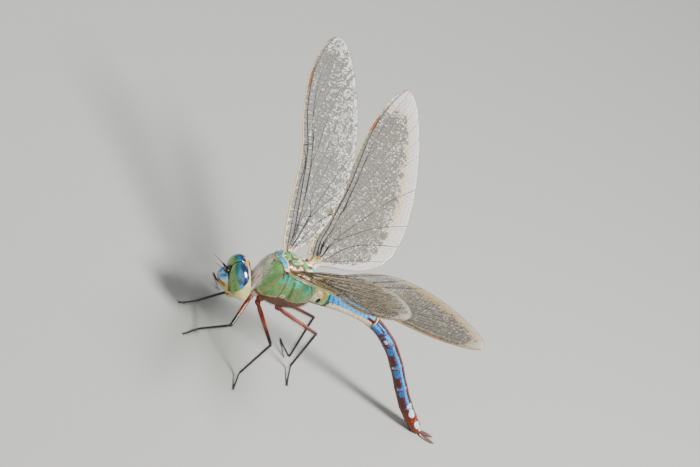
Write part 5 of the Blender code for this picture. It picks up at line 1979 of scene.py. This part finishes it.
def film_mesh(wing):
    """The film's points, which also tell their share and back, and its faces."""
    shares = np.concatenate([np.linspace(-0.025, 0.93, 190), np.linspace(0.936, 0.9985, 26)])
    backs = np.linspace(0, 1, 56)
    grid = np.repeat(shares, len(backs)), np.tile(backs, len(shares))
    top, low = [wing.place(*grid, lift).reshape(len(shares), len(backs), 3)
                for lift in (FILM_HALF, -FILM_HALF)]
    both = np.concatenate([top, low[:, ::-1]], 1)
    there_and_back = np.concatenate([backs, backs[::-1]])
    told = np.stack(np.broadcast_arrays(shares[:, None], there_and_back[None]), 2)
    return loft(np.concatenate([both, told], 2))


def stigma(wing, shells):
    """Adds the wing mark."""
    start, end = STIGMA[wing.pair]
    shares = np.linspace(start, end, 26)
    turn = np.linspace(0, 2 * math.pi, 20, endpoint=False)
    rings = []
    for share, radius in zip(shares, wing.courses(shares)[2]):
        slant = (share - start) / (end - start)
        squeeze = min(1, 8 * slant + 0.15, 8 * (1 - slant) + 0.15)
        back = radius * (0.52 + 0.46 * signed_power(np.cos(turn), 0.6) * squeeze)
        lean = 0.012 * (back / radius - 0.5)
        lift = 0.085 * signed_power(np.sin(turn), 0.7) * squeeze
        rings.append(np.stack([*wing.place(share + lean, back, lift).T,
                               np.minimum(back, radius - back) * 10 - 0.1], 1))
    points, faces = loft(np.array(rings))
    shells.add(from_body(points[:, :3]), faces, 1, edge=0.02 - points[:, 3])


def add_numbers(mesh, label, domain, values):
    """Writes one number for each point or face of a mesh."""
    mark = mesh.attributes.new(label, "FLOAT", domain)
    mark.data.foreach_set("value", values)


print("wing marks from and to", STIGMA)

# %% [markdown]
# The wings are now made one by one. The veins' tone becomes two marks, one for amber and one
# for straw.

# %% Build the wings
for number, (wing, (centres, walls)) in enumerate(zip(wings, nets)):
    points, faces = film_mesh(wing)
    share, back = points[:, 3], points[:, 4]
    sheet = Shells()
    sheet.add(from_body(points[:, :3]), faces, **film_marks(wing, share, back))
    stigma(wing, sheet)
    piece = sheet.make(wing.name + "_film", [film, mark_finish], "wing", wing.name)
    values = np.zeros(len(piece.data.polygons))
    values[:len(faces)] = cell_numbers(wing, centres, share, back, faces,
                                       np.random.default_rng(80 + number))
    add_numbers(piece.data, "cell", "FACE", values)
    store = vein_edges(wing, walls)
    base = bpy.data.meshes.new("vein_lines")
    base.from_pydata(store["points"], store["edges"], [])
    for label in ("thickness", "tone"):
        add_numbers(base, label, "POINT", store[label])
    made = grown(wing.name + "_veins", base, vein_tree, {"Sides": 5, "Finish": vein_finish})
    tones = np.zeros(len(made.vertices))
    made.attributes["tone"].data.foreach_get("value", tones)
    add_numbers(made, "amber", "POINT", tones - AMBER_FROM)
    add_numbers(made, "straw", "POINT", tones - STRAW_FROM)
    made.polygons.foreach_set("use_smooth", [True] * len(made.polygons))
    register(bpy.data.objects.new(wing.name + "_veins", made), "wing")
    print(wing.name, len(centres), "cells", len(walls), "walls")

# %% [markdown]
# ## Hair
# The front of the thorax and the neck wear short, pinkish white hair, and the underside between
# the legs is brown and woolly. Geometry Nodes strews roots over the skin as thickly as the skin
# asks for, and stands a thin cone on each, bent over by a common comb and by chance. Each hair
# keeps the place of its root, which gives it its spot on the unwrapped skin.

# %% The hair tree
hair_tree, i, o = geometry_group("short hair", [
    ("Density", "Float", 1.0), ("Length", "Float", 0.7 * MM), ("Width", "Float", 0.02 * MM),
    ("Comb", "Vector", None), ("Unruly", "Float", 0.4), ("Seed", "Int", 1),
    ("Finish", "Material", None)])
t = hair_tree
wanted = put(t, "GeometryNodeInputNamedAttribute", {"Name": "hairy"}, data_type="FLOAT").outputs[0]
strewn = put(t, "GeometryNodeDistributePointsOnFaces", {
    "Mesh": i["Geometry"], "Density": sums(t, "MULTIPLY", wanted, i["Density"]),
    "Seed": i["Seed"]})
rooted = put(t, "GeometryNodeStoreNamedAttribute", {
    "Geometry": strewn.outputs["Points"], "Name": "root"}, data_type="FLOAT_VECTOR",
    domain="POINT")
t.links.new(put(t, "GeometryNodeInputPosition").outputs[0], usable(rooted.inputs, "Value")[0])
any_way = drawn(t, i["Seed"], (-1, -1, -1), (1, 1, 1), "FLOAT_VECTOR")
astray = put(t, "ShaderNodeVectorMath", {0: any_way, "Scale": i["Unruly"]},
             operation="SCALE").outputs[0]
combed = put(t, "ShaderNodeVectorMath", {0: strewn.outputs["Normal"], 1: i["Comb"]},
             operation="ADD").outputs[0]
aim = put(t, "ShaderNodeVectorMath", {0: combed, 1: astray}, operation="ADD").outputs[0]
turned_to = put(t, "FunctionNodeAlignRotationToVector", {"Vector": aim}, axis="Z").outputs[0]
one_hair = put(t, "GeometryNodeMeshCone", {"Vertices": 3, "Radius Top": 0.0,
                                           "Radius Bottom": i["Width"], "Depth": i["Length"]})
standing = put(t, "GeometryNodeInstanceOnPoints", {
    "Points": rooted.outputs[0], "Instance": one_hair.outputs["Mesh"], "Rotation": turned_to,
    "Scale": upright_scale(t, drawn(t, i["Seed"], 0.5, 1.2))})
finish_tree(t, standing.outputs[0], i["Finish"], o)
print(hair_tree.name, len(t.nodes), "nodes")

# %% [markdown]
# Each coat grows on a skin of its own, whose normals are first made to point outward. Its spot
# on the unwrapped skin is the turn of its root around the body and how far down the body it is.

# %% Coats
white_hair = plate_finish("white_hair", (0.96, 0.87, 0.81, 1.0), variation=0.1, smooth=(0.4, 0.6))
brown_hair = plate_finish("brown_hair", tint(128, 92, 68), variation=0.3, smooth=(0.4, 0.6))
PATCH = 0.003  # how wide a hair's patch is on the unwrapped skin


def coat(name, points, faces, hairy, finish, slot, **settings):
    """Hair on a skin, as one plain mesh with its place on the unwrapped skin."""
    skin_mesh = bpy.data.meshes.new(name + "_skin")
    skin_mesh.from_pydata(from_body(points).tolist(), [], [tuple(face) for face in faces])
    shell = bmesh.new()
    shell.from_mesh(skin_mesh)
    bmesh.ops.recalc_face_normals(shell, faces=shell.faces)
    shell.to_mesh(skin_mesh)
    shell.free()
    mark = skin_mesh.attributes.new("hairy", "FLOAT", "POINT")
    mark.data.foreach_set("value", np.clip(hairy, 0, 1))
    made = grown(name, skin_mesh, hair_tree, {**settings, "Finish": finish})
    count = len(made.vertices)
    roots, spots = np.zeros(count * 3), np.zeros(count * 3)
    made.attributes["root"].data.foreach_get("vector", roots)
    made.vertices.foreach_get("co", spots)
    roots, spots = roots.reshape(-1, 3), spots.reshape(-1, 3)
    turn = np.arctan2(roots[:, 1], roots[:, 2] - BODY_HEIGHT * MM) / (2 * math.pi) + 0.5
    down = (roots[:, 0] - roots[:, 0].min()) / max(np.ptp(roots[:, 0]), 1e-9)
    shift = (spots - roots) / (1.5 * settings["Length"]) * PATCH / 2
    u = np.clip(turn * 0.98 + shift[:, 1] + 0.01, 0, 1)
    v = np.clip(down * 0.98 + shift[:, 2] + 0.01, 0, 1)
    layer = made.uv_layers.new(name="OFBake")
    corner = np.zeros(len(made.loops), int)
    made.loops.foreach_get("vertex_index", corner)
    layer.data.foreach_set("uv", np.stack([u[corner], v[corner]], 1).ravel())
    print(name, "hairs", len(made.polygons) // 4)
    return register(bpy.data.objects.new(name, made), slot)


f, l, d = thorax_points.T
near_neck = np.clip((f - 5.25) * 2.0, 0, 0.8)
front_hair = np.maximum(near_neck, 0.30 * np.clip((f - 3.9) / 1.5, 0, 1) ** 2)
front_hair = np.maximum(front_hair, 0.03 * (f < 5) * (d > -2))
under_hair = np.clip((low_line - d + 0.3) / 0.8, 0, 1)
coat("hair_front", thorax_points, thorax_faces, front_hair, white_hair, "thorax",
     Density=1.0e8, Length=0.65 * MM, Width=0.009 * MM, Comb=(-0.3, 0, 0.1), Unruly=0.5, Seed=3)
coat("hair_under", thorax_points, thorax_faces, under_hair, brown_hair, "thorax",
     Density=7.0e7, Length=0.65 * MM, Width=0.011 * MM, Comb=(0.3, 0, -0.4), Unruly=0.5, Seed=5)
coat("hair_neck", neck_points, neck_faces, np.clip((6.9 - neck_points[:, 0]) * 3, 0, 1),
     white_hair, "neck", Density=9.0e7, Length=0.55 * MM, Width=0.009 * MM,
     Comb=(-0.6, 0, 0.2), Unruly=0.6, Seed=9)

# %% [markdown]
# Last, the two boxes are gathered and printed: the solid model's, and the dressed model's.

# %% Sizes, and the end
shown_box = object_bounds()
sizes = {"cad": [list(corner) for corner in solid_box],
         "visual": [list(corner) for corner in shown_box]}
print("solid box", [[round(v, 4) for v in corner] for corner in sizes["cad"]])
print("shown box", [[round(v, 4) for v in corner] for corner in sizes["visual"]])
